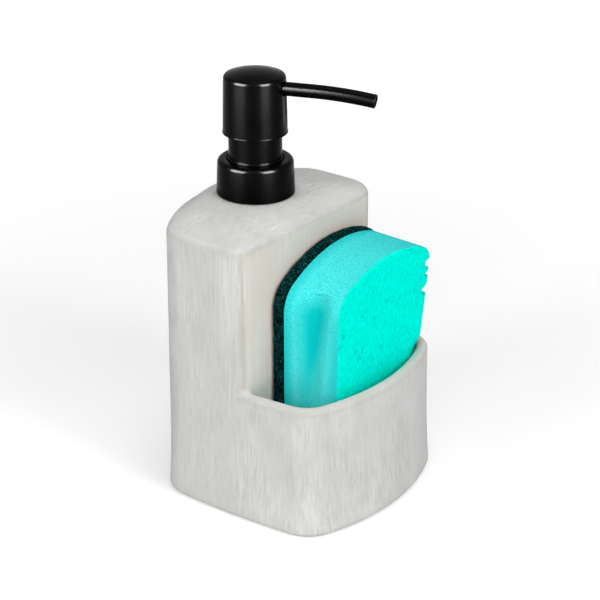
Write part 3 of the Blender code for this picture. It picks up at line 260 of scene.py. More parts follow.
def add_object(name, data):
    """A new object in the scene."""
    item = bpy.data.objects.new(name, data)
    bpy.context.scene.collection.objects.link(item)
    return item


def add_piece(name, data, material, body, node, sharp=35.0):
    """An object at the origin that rides on a body and stands for a CAD node, in its slot."""
    data.shade_smooth()
    data.set_sharp_from_angle(angle=np.radians(sharp))
    data.materials.append(material)
    piece = add_object(name, data)
    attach(piece, body)
    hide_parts(node)
    return piece


# Vessel: how many steps its outline's arcs and runs have, then how many rings its walls have

BACK, BACK_CORNER, SIDE = 28, 18, 22
FRONT_SIDE, FRONT_CORNER, FRONT = 10, 18, 28
LIP, STEP_CORNER, STEP_LINE, EDGE = 16, 12, 18, 10
OUTER_RINGS, TOWER_RINGS, CROWN_RINGS, RESERVOIR_RINGS = 26, 24, 16, 8
BRIDGE = (np.arange(1, 12) / 12.0) ** 1.6
BLEND_RADIUS = 2.6 * MM


class Outline:
    """The +Y half of the vessel's outline, for an array of heights and how far each is moved in.

    It is made of arcs that touch: a back arc, a corner, a slightly bowed side, and then either the
    step's corner and its flat face, or a front corner and a front arc. The step's corner has the
    given radius where there is no inset.
    """

    def __init__(self, height, inset, corner=FAR_STEP_CORNER_RADIUS):
        height, inset = np.broadcast_arrays(np.atleast_1d(height), np.atleast_1d(inset))
        rise = np.maximum((height - BASE_EDGE_RADIUS) / (VESSEL_HEIGHT - BASE_EDGE_RADIUS), 0.0)
        left = np.clip(1.0 - (height - BASE_EDGE_RADIUS) / BASE_FLARE_HEIGHT, 0.0, 1.0)
        flare = BASE_FLARE * (left ** 2 - 1.0)
        half = HALF_WIDTH + flare - SIDE_DRAFT * rise
        front = FRONT_REACH + flare - FRONT_DRAFT * rise
        back = BACK_REACH + flare - BACK_DRAFT * rise
        zero = np.zeros_like(half)
        self.front_r, self.back_r = FRONT_ARC_RADIUS - inset, BACK_ARC_RADIUS - inset
        self.side_r = SIDE_ARC_RADIUS - inset
        self.front_c = np.stack((front - FRONT_ARC_RADIUS, zero), -1)
        self.back_c = np.stack((BACK_ARC_RADIUS - back, zero), -1)
        self.side_c = np.stack((zero + SIDE_ARC_CENTRE, half - SIDE_ARC_RADIUS), -1)
        self.front_k = np.maximum(FRONT_CORNER_RADIUS - inset, POCKET_CORNER_RADIUS)
        self.back_k = np.maximum(BACK_CORNER_RADIUS - inset, RESERVOIR_EDGE_RADIUS)
        self.nominal_k = corner
        self.step_k = np.maximum(corner - inset, POCKET_CORNER_RADIUS)
        self.front_kc = self.corner(self.front_c, self.front_r, self.front_k)
        self.back_kc = self.corner(self.back_c, self.back_r, self.back_k)
        middle = STEP_REACH - inset - self.step_k
        self.step_kc = np.stack((middle, self.side_y(middle, self.side_r - self.step_k)), -1)
        self.step_angle = bearing(self.side_c, self.step_kc)

    def corner(self, centre, radius, fillet):
        """The centre of a fillet that touches this arc and the side's from inside.

        It is where two circles meet, each with its arc's centre and its radius less the fillet's.
        """
        a, b = radius - fillet, self.side_r - fillet
        line = self.side_c - centre
        length = np.linalg.norm(line, axis=1)
        along = (a ** 2 - b ** 2 + length ** 2) / (2.0 * length)
        across = np.sqrt(np.maximum(a ** 2 - along ** 2, 0.0))
        ahead = line / length[:, None]
        normal = np.stack((-ahead[:, 1], ahead[:, 0]), -1)
        ends = [centre + ahead * along[:, None] + normal * (sign * across)[:, None]
                for sign in (1, -1)]
        return np.where((ends[0][:, 1] > ends[1][:, 1])[:, None], ends[0], ends[1])

    def side_y(self, x, radius):
        """How far out the side's arc is at a place along X, from the circle's own equation."""
        return self.side_c[:, 1] + np.sqrt(radius ** 2 - (x - self.side_c[:, 0]) ** 2)

    def back_half(self):
        """From the middle of the back to the step's corner."""
        start, end = bearing(self.back_c, self.back_kc), bearing(self.side_c, self.back_kc)
        return np.concatenate((
            arcs(self.back_c, self.back_r, np.full_like(start, np.pi), start, BACK),
            arcs(self.back_kc, self.back_k, start, end, BACK_CORNER)[:, 1:],
            arcs(self.side_c, self.side_r, end, self.step_angle, SIDE)[:, 1:]), 1)

    def front_half(self):
        """From just in front of the step to the middle of the front."""
        x = np.full_like(self.side_r, STEP_REACH + 3.0 * POCKET_CORNER_RADIUS)
        first = np.stack((x, self.side_y(x, self.side_r)), -1)
        start, end = bearing(self.side_c, self.front_kc), bearing(self.front_c, self.front_kc)
        return np.concatenate((
            arcs(self.side_c, self.side_r, bearing(self.side_c, first), start, FRONT_SIDE),
            arcs(self.front_kc, self.front_k, start, end, FRONT_CORNER)[:, 1:],
            arcs(self.front_c, self.front_r, end, np.zeros_like(end), FRONT)[:, 1:]), 1)

    def footprint(self):
        """The closed half outline of the whole vessel."""
        back = self.back_half()
        return np.concatenate((back, bridged(back[:, -1], self.front_half())[:, 1:]), 1)

    def corner_rows(self):
        """Points of the step's corner where the lip's rows end: the arc sine of the depth left."""
        depth = lip_depth(np.arange(LIP + 1))
        angle = np.arcsin(np.sin(self.step_angle)[:, None] - depth[None] / self.nominal_k)
        turn = np.stack((np.cos(angle), np.sin(angle)), -1)
        return self.step_kc[:, None, :] + self.step_k[:, None, None] * turn, angle[:, -1]

    def step_face(self):
        """The rest of the step's corner and its flat face, to the middle."""
        _, last = self.corner_rows()
        corner = arcs(self.step_kc, self.step_k, last, np.zeros_like(last), STEP_CORNER)[:, 1:]
        return np.concatenate((corner, to_middle(corner[:, -1])), 1)

    def tower(self):
        """The closed half outline of the tall back."""
        return np.concatenate((self.back_half(), self.corner_rows()[0][:, 1:], self.step_face()), 1)

    def plain_tower(self):
        """The same with an even corner, for the reservoir's inside."""
        zero = np.zeros_like(self.step_angle)
        corner = arcs(self.step_kc, self.step_k, self.step_angle, zero, LIP + STEP_CORNER)[:, 1:]
        return np.concatenate((self.back_half(), corner, to_middle(corner[:, -1])), 1)


def to_middle(start):
    """Straight from each point to the X axis, the start left out."""
    return lines(start, start * (1.0, 0.0), STEP_LINE)[:, 1:]


def bridged(start, rest):
    """Half outlines, with a run of points that starts close together before each one's first."""
    share = np.concatenate(([0.0], BRIDGE))[None, :, None]
    return np.concatenate((start[:, None] + (rest[:, :1] - start[:, None]) * share, rest), 1)


def lip_depth(row):
    """How far in a row of the rounded lip is: half the wall times one less the cosine."""
    return WALL * 0.5 * (1.0 - np.cos(np.pi * row / LIP))


def lip_height(row):
    """How high a row of the rounded lip is: half the wall times the sine, above the lip's start."""
    return LIP_START + WALL * 0.5 * np.sin(np.pi * row / LIP)


def lifted(plan, height):
    """Plan points with a height for each ring or each point, moved to the pump's place along X."""
    height = np.broadcast_to(np.reshape(height, (-1, 1)) if np.ndim(height) == 1 else height,
                             plan.shape[:2])
    return np.stack((plan[..., 0] + PUMP_X, plan[..., 1], height), -1)


def other_side(points):
    """Points of each ring carried over to the -Y side, in the opposite order."""
    return points[:, ::-1] * (1.0, -1.0, 1.0)


def mirrored(half):
    """Closed rings from their +Y halves, whose ends lie on the X axis."""
    return np.concatenate((half, other_side(half[:, 1:-1])), 1)


def both_sides(half_for):
    """Closed rings from a function that gives +Y halves for the radius of the step's corner."""
    far, near = half_for(FAR_STEP_CORNER_RADIUS), half_for(NEAR_STEP_CORNER_RADIUS)
    return np.concatenate((far, other_side(near[:, 1:-1])), 1)


def lip_rise(row):
    """How much of the blend at the lip's ends a row has: none outside, all at the inner edge."""
    return smooth_share(row / LIP, 0.25, 0.85)


def blend_height(away):
    """The blend's height above the lip: a circle's quarter that touches the lip and the step."""
    left = np.clip(1.0 - away / BLEND_RADIUS, 0.0, 1.0)
    return BLEND_RADIUS * (1.0 - np.sqrt(1.0 - left ** 2 * 0.96)) / 0.8


def lip_half(corner):
    """Half of the lip: its rows start on the step's corner and run along the wall's round edge."""
    rows = np.arange(LIP + 1)
    start = Outline(LIP_START, 0.0, corner).corner_rows()[0][0]
    plan = bridged(start, Outline(np.full(LIP + 1, LIP_START), lip_depth(rows)).front_half())
    away = np.linalg.norm(plan - start[:, None], axis=-1)
    return lifted(plan, lip_height(rows)[:, None] + blend_height(away) * lip_rise(rows)[:, None])


def tower_foot(corner):
    """Half of the tower's first ring, which follows the lip up and down across its end."""
    plan = Outline(LIP_START, 0.0, corner)
    face = plan.step_face()
    points = np.concatenate((plan.back_half(), plan.corner_rows()[0][:, 1:], face), 1)
    level = np.full(points.shape[:2], LIP_START)
    rows = np.arange(1, LIP + 1)
    count = face.shape[1]
    level[0, -count - LIP:-count] = lip_height(rows) + blend_height(0.0) * lip_rise(rows)
    level[0, -count:] += blend_height(np.linalg.norm(face[0] - points[0, -count - 1], axis=-1))
    return lifted(points, level)


def pocket_mouth(corner):
    """Half of the lip's inner edge, closed along the step's face."""
    plan = Outline(LIP_START, 0.0, corner)
    face, end = plan.step_face(), plan.corner_rows()[0][:, -1]
    front = bridged(end, Outline(LIP_START, WALL).front_half())
    points = np.concatenate((face[:, ::-1], front), 1)
    away = np.linalg.norm(points - end[:, None], axis=-1)
    return lifted(points, LIP_START + blend_height(away))


def to_circle(ring, radius, share, height):
    """A ring moved by shares towards a circle about the pump's axis, in plan."""
    flat = ring[None, :, :2] - (PUMP_X, 0.0)
    share = np.reshape(share, (-1, 1, 1))
    circle = unit(flat) * np.reshape(radius, (-1, 1, 1))
    return lifted(flat + (circle - flat) * share, np.asarray(height, float))


def vessel_patches():
    """The outer wall, the lip, the tall back, the reservoir's inside and the pocket, as rings.

    The crown rises over the tall back as one less the square of the share that is left.
    """
    turn = np.linspace(0.0, np.pi / 2.0, EDGE + 1)
    round_in, round_up = 1.0 - np.sin(turn), 1.0 - np.cos(turn)

    height = np.concatenate((BASE_EDGE_RADIUS * round_up,
                             spread(BASE_EDGE_RADIUS, LIP_START, OUTER_RINGS)))
    inset = np.concatenate((BASE_EDGE_RADIUS * round_in, np.zeros(OUTER_RINGS)))
    outer = both_sides(lambda corner: lifted(Outline(height, inset, corner).footprint(), height))
    lip = np.concatenate((lip_half(FAR_STEP_CORNER_RADIUS),
                          other_side(lip_half(NEAR_STEP_CORNER_RADIUS)[:, :-1])), 1)

    low = RIM_HEIGHT + BLEND_RADIUS
    height = np.concatenate(([low], spread(low, WALL_TOP, TOWER_RINGS)))
    edge_turn = spread(0.0, TOP_EDGE_TURN, EDGE)
    plan_height = np.concatenate((height, np.full(EDGE, WALL_TOP)))
    inset = np.concatenate((0.0 * height, TOP_EDGE_RADIUS * (1.0 - np.cos(edge_turn))))
    height = np.concatenate((height, WALL_TOP + TOP_EDGE_RADIUS * np.sin(edge_turn)))
    tower = np.concatenate((both_sides(tower_foot), both_sides(
        lambda corner: lifted(Outline(plan_height, inset, corner).tower(), height))))
    share = spread(0.0, 1.0, CROWN_RINGS)
    top = tower[-1, 0, 2]
    crown = to_circle(tower[-1], NECK_LAND_RADIUS, share,
                      top + (VESSEL_HEIGHT - top) * (1.0 - (1.0 - share) ** 2))
    radius = np.array((NECK_LEDGE_RADIUS, NECK_LEDGE_RADIUS, NECK_BORE_RADIUS, NECK_BORE_RADIUS))
    depth = np.array((0.0, NECK_LEDGE_DEPTH, NECK_LEDGE_DEPTH, NECK_DEPTH))
    neck = to_circle(crown[-1], radius, np.ones(4), VESSEL_HEIGHT - depth)

    roof = VESSEL_HEIGHT - CROWN_RISE - WALL
    low = FLOOR + RESERVOIR_EDGE_RADIUS
    height = np.concatenate((roof - RESERVOIR_EDGE_RADIUS * round_up,
                             spread(roof - RESERVOIR_EDGE_RADIUS, low, RESERVOIR_RINGS),
                             low - RESERVOIR_EDGE_RADIUS * np.sin(turn[1:])))
    inset = WALL + RESERVOIR_EDGE_RADIUS * np.concatenate(
        (round_in, np.zeros(RESERVOIR_RINGS), round_up[1:]))
    inside = both_sides(lambda corner: lifted(Outline(height, inset, corner).plain_tower(), height))
    middle = to_circle(inside[0], NECK_BORE_RADIUS, [0.5],
                       [(VESSEL_HEIGHT - NECK_DEPTH + roof) / 2.0])
    reservoir = np.concatenate((crown[-1:], neck, middle, inside))

    floor_edge = FLOOR + POCKET_EDGE_RADIUS
    share = np.concatenate(([0.02], spread(0.02, 0.2, 6), spread(0.2, 1.0, 10)))
    wall_height = LIP_START + (floor_edge - LIP_START) * share
    plan_height = np.concatenate((wall_height, np.full(EDGE, floor_edge)))
    height = np.concatenate((wall_height, floor_edge - POCKET_EDGE_RADIUS * np.sin(turn[1:])))
    edge = np.concatenate((np.zeros(len(share)), POCKET_EDGE_RADIUS * round_up[1:]))
    draft = POCKET_DRAFT * np.concatenate((share, np.ones(EDGE)))
    plan = Outline(plan_height, WALL + draft + edge)
    corner_x = STEP_REACH + edge + POCKET_CORNER_RADIUS
    corner = np.stack((corner_x, plan.side_y(corner_x, plan.side_r - POCKET_CORNER_RADIUS)), -1)
    fillet = arcs(corner, np.full_like(edge, POCKET_CORNER_RADIUS), bearing(plan.side_c, corner),
                  np.full_like(edge, np.pi), STEP_CORNER)
    back = np.concatenate((fillet[:, 1:], to_middle(fillet[:, -1])), 1)[:, ::-1]
    half = np.concatenate((back, bridged(fillet[:, 0], plan.front_half())), 1)
    pocket = np.concatenate((both_sides(pocket_mouth), mirrored(lifted(half, height))))
    return outer, lip, np.concatenate((tower, crown)), reservoir, pocket


def in_plan(grid):
    """Each point's X and Y in the vessel's plan, its height, and how far past the corner it is.

    Past the step's corner is the sum of how far it is past the step and how far inside the side.
    """
    x, y = grid[..., 0] - PUMP_X, grid[..., 1]
    return x, y, grid[..., 2], (x - STEP_REACH) + (SIDE_AT_STEP - np.abs(y))


def wiped_and_shaded_share(grid, name):
    """How far the grey wash gives way to the darker ware colour, from 0 to 1, for each point.

    It is most down the step's corners and along the top edge, more so near the step: there the
    ware colour is painted shade. Some on the step's face and inside the pocket, and a little round
    the rim and the foot, the wash is wiped off so that warm ware shows.
    """
    x, _, z, past = in_plan(grid)
    if name in ("lip", "pocket"):
        return np.full_like(z, 0.3)
    if name == "reservoir":
        return np.full_like(z, 0.6)
    if name == "outer":
        foot = 1.0 - smooth_share(z, 1.0 * MM, 5.0 * MM)
        rim = smooth_share(z, LIP_START - 2.0 * MM, LIP_START) * smooth_share(x, 18 * MM, 24 * MM)
        return 0.3 * foot + 0.35 * rim
    above = smooth_share(z, LIP_START - 1.0 * MM, LIP_START + 1.0 * MM)
    # painted shade: a darker band down each of the step's corners
    corner = 0.95 * above * hump(past, -0.4 * MM, 2.6 * MM)
    face = 0.5 * above * smooth_share(past, -1.0 * MM, 3.0 * MM)
    # painted shade: a darker line along the top edge, stronger towards the step
    crease = hump(z, WALL_TOP + 1.2 * MM, 1.3 * MM)
    crease = crease * (0.3 + 0.3 * smooth_share(past, -3.0 * MM, 2.0 * MM))
    level = 1.0 - smooth_share(z, WALL_TOP + 1.0 * MM, WALL_TOP + TOP_EDGE_RADIUS)
    return np.maximum(np.maximum(corner, face) * level, crease)


def face_share(grid):
    """Where the step's flat face is, from 0 to 1: it gets the cream, partly painted light."""
    x, _, z, past = in_plan(grid)
    share = smooth_share(past, -0.5 * MM, 5.0 * MM)
    share = share * smooth_share(x, STEP_REACH - 2.0 * MM, STEP_REACH - 0.5 * MM)
    return share * (1.0 - smooth_share(z, WALL_TOP - 0.5 * MM, WALL_TOP + 1.5 * MM))


def chalky_share(grid):
    """Where the brushed wash stays thickest: on the step's side, next to its corner."""
    x, y, z, _ = in_plan(grid)
    share = smooth_share(np.abs(y), SIDE_AT_STEP - 4.0 * MM, SIDE_AT_STEP - 1.0 * MM)
    share = share * hump(x, STEP_REACH - 8.5 * MM, 5.0 * MM)
    share = share * smooth_share(z, LIP_START + 4.0 * MM, LIP_START + 34.0 * MM)
    return share * (1.0 - smooth_share(z, WALL_TOP - 3.0 * MM, WALL_TOP + 1.5 * MM))


def top_share(grid):
    """Where the vessel's top is, from 0 to 1."""
    return smooth_share(grid[..., 2], WALL_TOP + 0.5 * MM, WALL_TOP + TOP_EDGE_RADIUS * 0.95)


# Pump

def profile(corners, closed, steps=8):
    """Points of a turned profile. A corner with a fillet becomes an arc that touches both sides."""
    points, count = [], len(corners)
    for index, (radius, height, fillet) in enumerate(corners):
        here = np.array((radius, height))
        if fillet == 0.0 or (not closed and index in (0, count - 1)):
            points.append(here[None])
            continue
        before = unit(np.array(corners[index - 1][:2]) - here)
        after = unit(np.array(corners[(index + 1) % count][:2]) - here)
        half = np.arccos(np.clip(before @ after, -1.0, 1.0)) / 2.0
        start, end = here + before * fillet / np.tan(half), here + after * fillet / np.tan(half)
        centre = here + unit(before + after) * fillet / np.sin(half)
        share = np.linspace(0.0, 1.0, steps + 1)[:, None]
        points.append(centre + unit(start + (end - start) * share - centre) * fillet)
    return np.concatenate(points)


def turned(outline, closed, sides):
    """A profile turned about the pump's axis: radius times cosine and sine, and its own height."""
    if closed:
        outline = np.concatenate((outline, outline[:1]))
    cos, sin = around(sides)
    radius, height = outline[:, :1], outline[:, 1:]
    x = PUMP_X + radius * cos
    return np.stack((x, radius * sin, np.broadcast_to(height + COLLAR_FOOT, x.shape)), -1)


def dome(top, shoulder, radius, fillet, outward):
    """A cap's top from its axis to its shoulder: a sphere through the apex and the shoulder."""
    sphere = (radius ** 2 + (top - shoulder) ** 2) / (2.0 * (top - shoulder))
    reach = radius * np.linspace(0.0, 0.66, 14)
    height = top - sphere + np.sqrt(sphere ** 2 - reach ** 2)
    corners = [(r, z, 0.0) for r, z in zip(reach, height)] + [(radius, shoulder, fillet)]
    return corners if outward else corners[::-1]


def head_profile():
    """The cap: a domed top, a soft shoulder, a wall that widens a little, and the same inside."""
    top, shoulder, radius, wall = 51.2 * MM, 48.9 * MM, 12.5 * MM, 1.0 * MM
    bottom, bottom_radius, edge = 25.3 * MM, 13.15 * MM, 0.35 * MM
    corners = dome(top, shoulder, radius, 1.8 * MM, True)
    corners += [(bottom_radius - 0.12 * MM, bottom + 0.65 * MM, 0.1 * MM),
                (bottom_radius + 0.08 * MM, bottom + 0.42 * MM, 0.2 * MM),
                (bottom_radius + 0.08 * MM, bottom, 0.2 * MM), (bottom_radius - wall, bottom, edge)]
    corners += dome(top - wall, shoulder - wall, radius - wall, 0.8 * MM, False)
    return profile(corners, False)


def collar_profile():
    """The ring: a straight wall that leans in, a rounded top edge and a flat top with a hole."""
    height, wall, hole, edge = 14.4 * MM, 0.9 * MM, 11.8 * MM, 1.8 * MM
    foot, top = 16.0 * MM, 15.4 * MM
    return profile([
        (hole, height, 0.2 * MM), (top, height, edge), (foot, 0.0, 0.25 * MM),
        (foot - wall, 0.0, 0.25 * MM), (top - wall, height - wall, edge - wall),
        (hole, height - wall, 0.2 * MM)], True)


def sleeve_profile():
    """The neck: a plain tube with a small stepped ring round its foot."""
    radius, wall, top, foot = 10.85 * MM, 0.9 * MM, 27.6 * MM, 13.2 * MM
    ring_radius, ring_top = 11.15 * MM, 15.0 * MM
    return profile([
        (radius, top, 0.25 * MM), (radius, ring_top, 0.25 * MM),
        (ring_radius, ring_top - 0.35 * MM, 0.2 * MM), (ring_radius, foot, 0.0),
        (radius - wall, foot, 0.0), (radius - wall, top, 0.25 * MM)], True)


def towards_spout(along, across, height):
    """Points from places along and across the spout's direction, turned about the pump's axis."""
    c, s = np.cos(SPOUT_TURN), np.sin(SPOUT_TURN)
    return np.stack((PUMP_X + along * c - across * s, along * s + across * c, height), -1)


def spout_points(count=64, sides=48):
    """The spout: circles carried along a path that runs straight and then bends down in an arc."""
    bend = (SPOUT_REACH - SPOUT_BEND_START) / np.sin(SPOUT_BEND_TURN)
    straight = np.linspace(SPOUT_START, SPOUT_BEND_START, 16)[:-1]
    turn = np.linspace(0.0, SPOUT_BEND_TURN, count)
    x = np.concatenate((straight, SPOUT_BEND_START + bend * np.sin(turn)))
    z = np.concatenate((0.0 * straight, bend * (np.cos(turn) - 1.0)))
    lean = np.concatenate((0.0 * straight, turn))

    # out along the outer wall, round the open end's two small edges, and back along the bore
    edge, bevel = 0.18 * MM, np.linspace(0.0, np.pi / 2.0, 5)
    bore, last = SPOUT_RADIUS - SPOUT_WALL, len(x) - 1
    run = np.arange(last)
    radius = np.concatenate((0.0 * run + SPOUT_RADIUS, SPOUT_RADIUS - edge * (1.0 - np.cos(bevel)),
                             bore + edge * (1.0 - np.sin(bevel)), 0.0 * run + bore))[:, None]
    push = np.concatenate((0.0 * run, edge * np.sin(bevel) - edge, edge * np.cos(bevel) - edge,
                           0.0 * run))[:, None]
    index = np.concatenate((run, np.full(2 * len(bevel), last), run[::-1]))
    x, z, lean = x[index][:, None], z[index][:, None], lean[index][:, None]
    cos, sin = around(sides)
    up = radius * sin
    along = x + push * np.cos(lean) + up * np.sin(lean)
    height = z - push * np.sin(lean) + up * np.cos(lean) + SPOUT_HEIGHT + COLLAR_FOOT
    grid = towards_spout(along, np.broadcast_to(radius * cos, along.shape), height)
    return np.concatenate((grid, grid[:1]))


def drill(piece, radius, sides=64):
    """Cut the round hole that the spout leaves through."""
    reach = np.array((8.0 * MM, 18.0 * MM))[:, None]
    across, up = (np.broadcast_to(radius * part, (2, sides)) for part in around(sides))
    grid = towards_spout(reach, across, up + SPOUT_HEIGHT + COLLAR_FOOT)
    cutter = add_object("spout_drill", add_mesh("spout_drill", [(grid, True)], [(0, 0), (0, 1)]))
    boolean = piece.modifiers.new("Hole", "BOOLEAN")
    boolean.operation = "DIFFERENCE"
    boolean.object = cutter
    depsgraph = bpy.context.evaluated_depsgraph_get()
    data = bpy.data.meshes.new_from_object(piece.evaluated_get(depsgraph))
    data.name = piece.name
    piece.modifiers.clear()
    piece.data = data
    bpy.data.objects.remove(cutter)


def coil_points(steps=336, sides=14):
    """The return spring: circles of wire carried along a helix whose end coils lie closer together.

    At a share t of the length the helix has turned 7 times t, and it is the share
    t - 0.6 sin(2 pi t) / 2 pi up. Each circle lies across the wire's direction.
    """
    share = np.linspace(0.0, 1.0, steps + 1)[:, None]
    turn = TAU * SPRING_TURNS * share
    length = SPRING_LENGTH - 2.0 * SPRING_WIRE_RADIUS
    height = length * (share - SPRING_END_CLOSING * np.sin(TAU * share) / TAU)
    climb = length * (1.0 - SPRING_END_CLOSING * np.cos(TAU * share)) / (TAU * SPRING_TURNS)
    outwards = np.concatenate((np.cos(turn), np.sin(turn), 0.0 * turn), -1)[:, None]
    across = np.concatenate((np.sin(turn) * climb, -np.cos(turn) * climb,
                             SPRING_RADIUS + 0.0 * turn), -1)
    centre = np.array((PUMP_X, 0.0, SPRING_FOOT + SPRING_WIRE_RADIUS)) + outwards * SPRING_RADIUS
    centre = centre + height[:, None] * np.array((0.0, 0.0, 1.0))
    cos, sin = (part[None, :, None] for part in around(sides))
    return centre + SPRING_WIRE_RADIUS * (cos * outwards + sin * unit(across)[:, None])


# Sponge: how many rings its sides and its flat faces have

FOAM_RINGS, FOAM_FACE_RINGS = 40, 71
PAD_RINGS, PAD_FACE_RINGS = 6, 23


def grip(across, height, depth):
    """The groove in the foam's sides: a cosine bowl across, with a round upper end.

    It leans towards the front, and narrows and fades down.
    """
    rise = np.clip((height - GRIP_FOOT) / (GRIP_TOP - GRIP_FOOT), 0.0, 1.0)
    half_width = GRIP_HALF_WIDTH * (GRIP_FOOT_WIDTH_SHARE + (1.0 - GRIP_FOOT_WIDTH_SHARE) * rise)
    end = np.clip((GRIP_TOP - height) / GRIP_ROUND, 0.0, 1.0)
    place = np.clip((across - GRIP_LEAN * rise) / half_width, -1.0, 1.0)
    return depth * rise * np.sqrt(end * (2.0 - end)) * np.cos(np.pi * 0.5 * place) ** 2


def groove_shade(across, height):
    """Painted shade in the groove: a soft teardrop, widest near its round top, that trails off
    down.
    """
    rise = np.clip((height - GRIP_FOOT) / (GRIP_TOP - GRIP_FOOT), 0.0, 1.0)
    width = GRIP_HALF_WIDTH * (0.28 + 0.52 * rise ** 1.5)
    end = smooth_share(GRIP_TOP - height, -1.0 * MM, 9.0 * MM)
    middle = GRIP_LEAN * (2.0 * rise - 1.0) - 1.0 * MM
    return hump(across, middle, width) * end * smooth_share(rise, -0.2, 0.7)


def shoulder(reach, corner, arch_centre, arch_radius, side):
    """A shoulder's arc: its centre, which lies inside the arch, and where it meets the arch."""
    middle = side * (reach - corner)
    rise = np.sqrt((arch_radius - corner) ** 2 - (middle - SPONGE_PEAK) ** 2)
    centre = np.stack((middle, arch_centre[:, 1] + rise), -1)
    return centre, bearing(arch_centre, centre)


def sponge_outline(share, inset):
    """Outlines in Y and Z for shares of the thickness: sides, shoulders, arch and rounded foot."""
    share, inset = np.broadcast_arrays(np.atleast_1d(share), np.atleast_1d(inset))
    near = SPONGE_NEAR_REACH - SPONGE_SHEAR * share - inset
    far = SPONGE_FAR_REACH - SPONGE_SHEAR * (1.0 - share) - inset
    foot = FLOOR + SEAT_GAP + inset
    top = FLOOR + SEAT_GAP + SPONGE_HEIGHT - SPONGE_TOP_SLOPE * share - inset
    arch_r = SPONGE_ARCH_RADIUS - inset
    arch_c = np.stack((np.full_like(top, SPONGE_PEAK), top - arch_r), -1)
    near_k, far_k = SPONGE_NEAR_CORNER_RADIUS - inset, SPONGE_FAR_CORNER_RADIUS - inset
    foot_k = SPONGE_FOOT_RADIUS - inset
    near_c, near_a = shoulder(near, near_k, arch_c, arch_r, -1.0)
    far_c, far_a = shoulder(far, far_k, arch_c, arch_r, 1.0)
    lean = np.full_like(top, np.arctan2(SPONGE_FAR_TAPER, SPONGE_TAPER_TOP - LIP_START))
    low = foot + foot_k
    far_top = far_c[:, 1] - far_k * np.sin(lean)
    up = np.linspace(0.0, 1.0, 97)[:-1]
    near_z = low[:, None] + (near_c[:, 1] - low)[:, None] * up
    far_z = low[:, None] + (far_top - low)[:, None] * up[::-1]
    taper = SPONGE_FAR_TAPER * np.clip(
        (SPONGE_TAPER_TOP - far_z) / (SPONGE_TAPER_TOP - LIP_START), 0.0, 1.0)
    low_far = far - SPONGE_FAR_TAPER
    right, down = np.zeros_like(low), np.full_like(low, -np.pi / 2.0)
    far_foot = np.stack((low_far - foot_k, low), -1)
    near_foot = np.stack((foot_k - near, low), -1)
    drop = np.stack((right, -foot_k), -1)
    return np.concatenate((
        np.stack((np.broadcast_to(-near[:, None], near_z.shape), near_z), -1),
        arcs(near_c, near_k, right + np.pi, near_a, 20),
        arcs(arch_c, arch_r, near_a, far_a, 56)[:, 1:],
        arcs(far_c, far_k, far_a, -lean, 16)[:, 1:],
        np.stack((far[:, None] - taper, far_z), -1),
        arcs(far_foot, foot_k, right, down, 6)[:, 1:],
        lines(far_foot + drop, near_foot + drop, 40)[:, 1:-1],
        arcs(near_foot, foot_k, down, down - np.pi / 2.0, 6)[:, :-1]), 1)


def room_in_front(y):
    """How far forward the pocket leaves room at its lip: the inner front arc, less a gap."""
    plan = Outline(LIP_START, WALL)
    return plan.front_c[0, 0] + np.sqrt(plan.front_r[0] ** 2 - y ** 2) - SPONGE_WALL_GAP


def pressed_in(x, y, z, back):
    """Places through the foam, moved back in proportion where the pocket's front wall is nearer."""
    share = np.minimum((room_in_front(y) - back) / (FOAM_THICKNESS + FOAM_CROWN), 1.0)
    share = share + (1.0 - share) * smooth_share(z, LIP_START, RIM_HEIGHT + SPONGE_FREE_RISE)
    return back + (x - back) * share


def foam_points(depth, edge_radius):
    """The foam: outlines through its thickness, then rings that close its front face to a point.

    The front face is crowned: it stands out by one less the square of the share of the way out.
    """
    back = SPONGE_BACK + PAD_THICKNESS + SEAT_GAP
    turn = np.linspace(0.0, np.pi / 2.0, 6)
    edge = edge_radius / FOAM_THICKNESS
    start = edge * 0.5 * (1.0 - np.cos(turn))
    share = np.concatenate((start, np.linspace(start[-1], 1.0 - edge, FOAM_RINGS + 2)[1:-1],
                            1.0 - edge * (1.0 - np.sin(turn))))
    inset = edge_radius * np.concatenate(
        (0.5 * (1.0 - np.sin(turn)), np.zeros(FOAM_RINGS), 1.0 - np.cos(turn)))
    outline = sponge_outline(share, inset)
    y, z = outline[..., 0], outline[..., 1]
    across = ((share - 0.5) * FOAM_THICKNESS)[:, None]
    side = np.sign(y - SPONGE_PEAK)
    on_side = smooth_share(np.abs(y - SPONGE_PEAK), SPONGE_PEAK * 0.5, SPONGE_PEAK * 2.0)
    # painted shade for the groove, kept as the groove attribute
    shade = groove_shade(across, z) * on_side
    y = y - side * grip(across, z, depth) * on_side
    x = back + FOAM_THICKNESS * share[:, None] + 0.0 * y
    middle = SPONGE_PEAK * 0.8
    face = spread(1.0, 0.0, FOAM_FACE_RINGS)[:, None]
    face_y = middle + (y[-1] - middle) * face
    face_z = SPONGE_MIDDLE + (z[-1] - SPONGE_MIDDLE) * face
    face_x = back + FOAM_THICKNESS + FOAM_CROWN * (1.0 - face ** 2) + 0.0 * face_y
    x, y, z = (np.concatenate(pair) for pair in ((x, face_x), (y, face_y), (z, face_z)))
    x = pressed_in(x, y, z, back)
    full, cut = np.ones(FOAM_FACE_RINGS), smooth_share(share, 1.0 - edge * 0.8, 1.0 - edge * 0.1)
    values = {
        "cut": np.concatenate((cut, full))[:, None],
        "through": np.concatenate((share, full))[:, None],
        "groove": np.concatenate((shade, 0.0 * face_y)),
    }
    values = {key: np.broadcast_to(value, x.shape) for key, value in values.items()}
    return np.stack((x + PUMP_X, y, z), -1), values


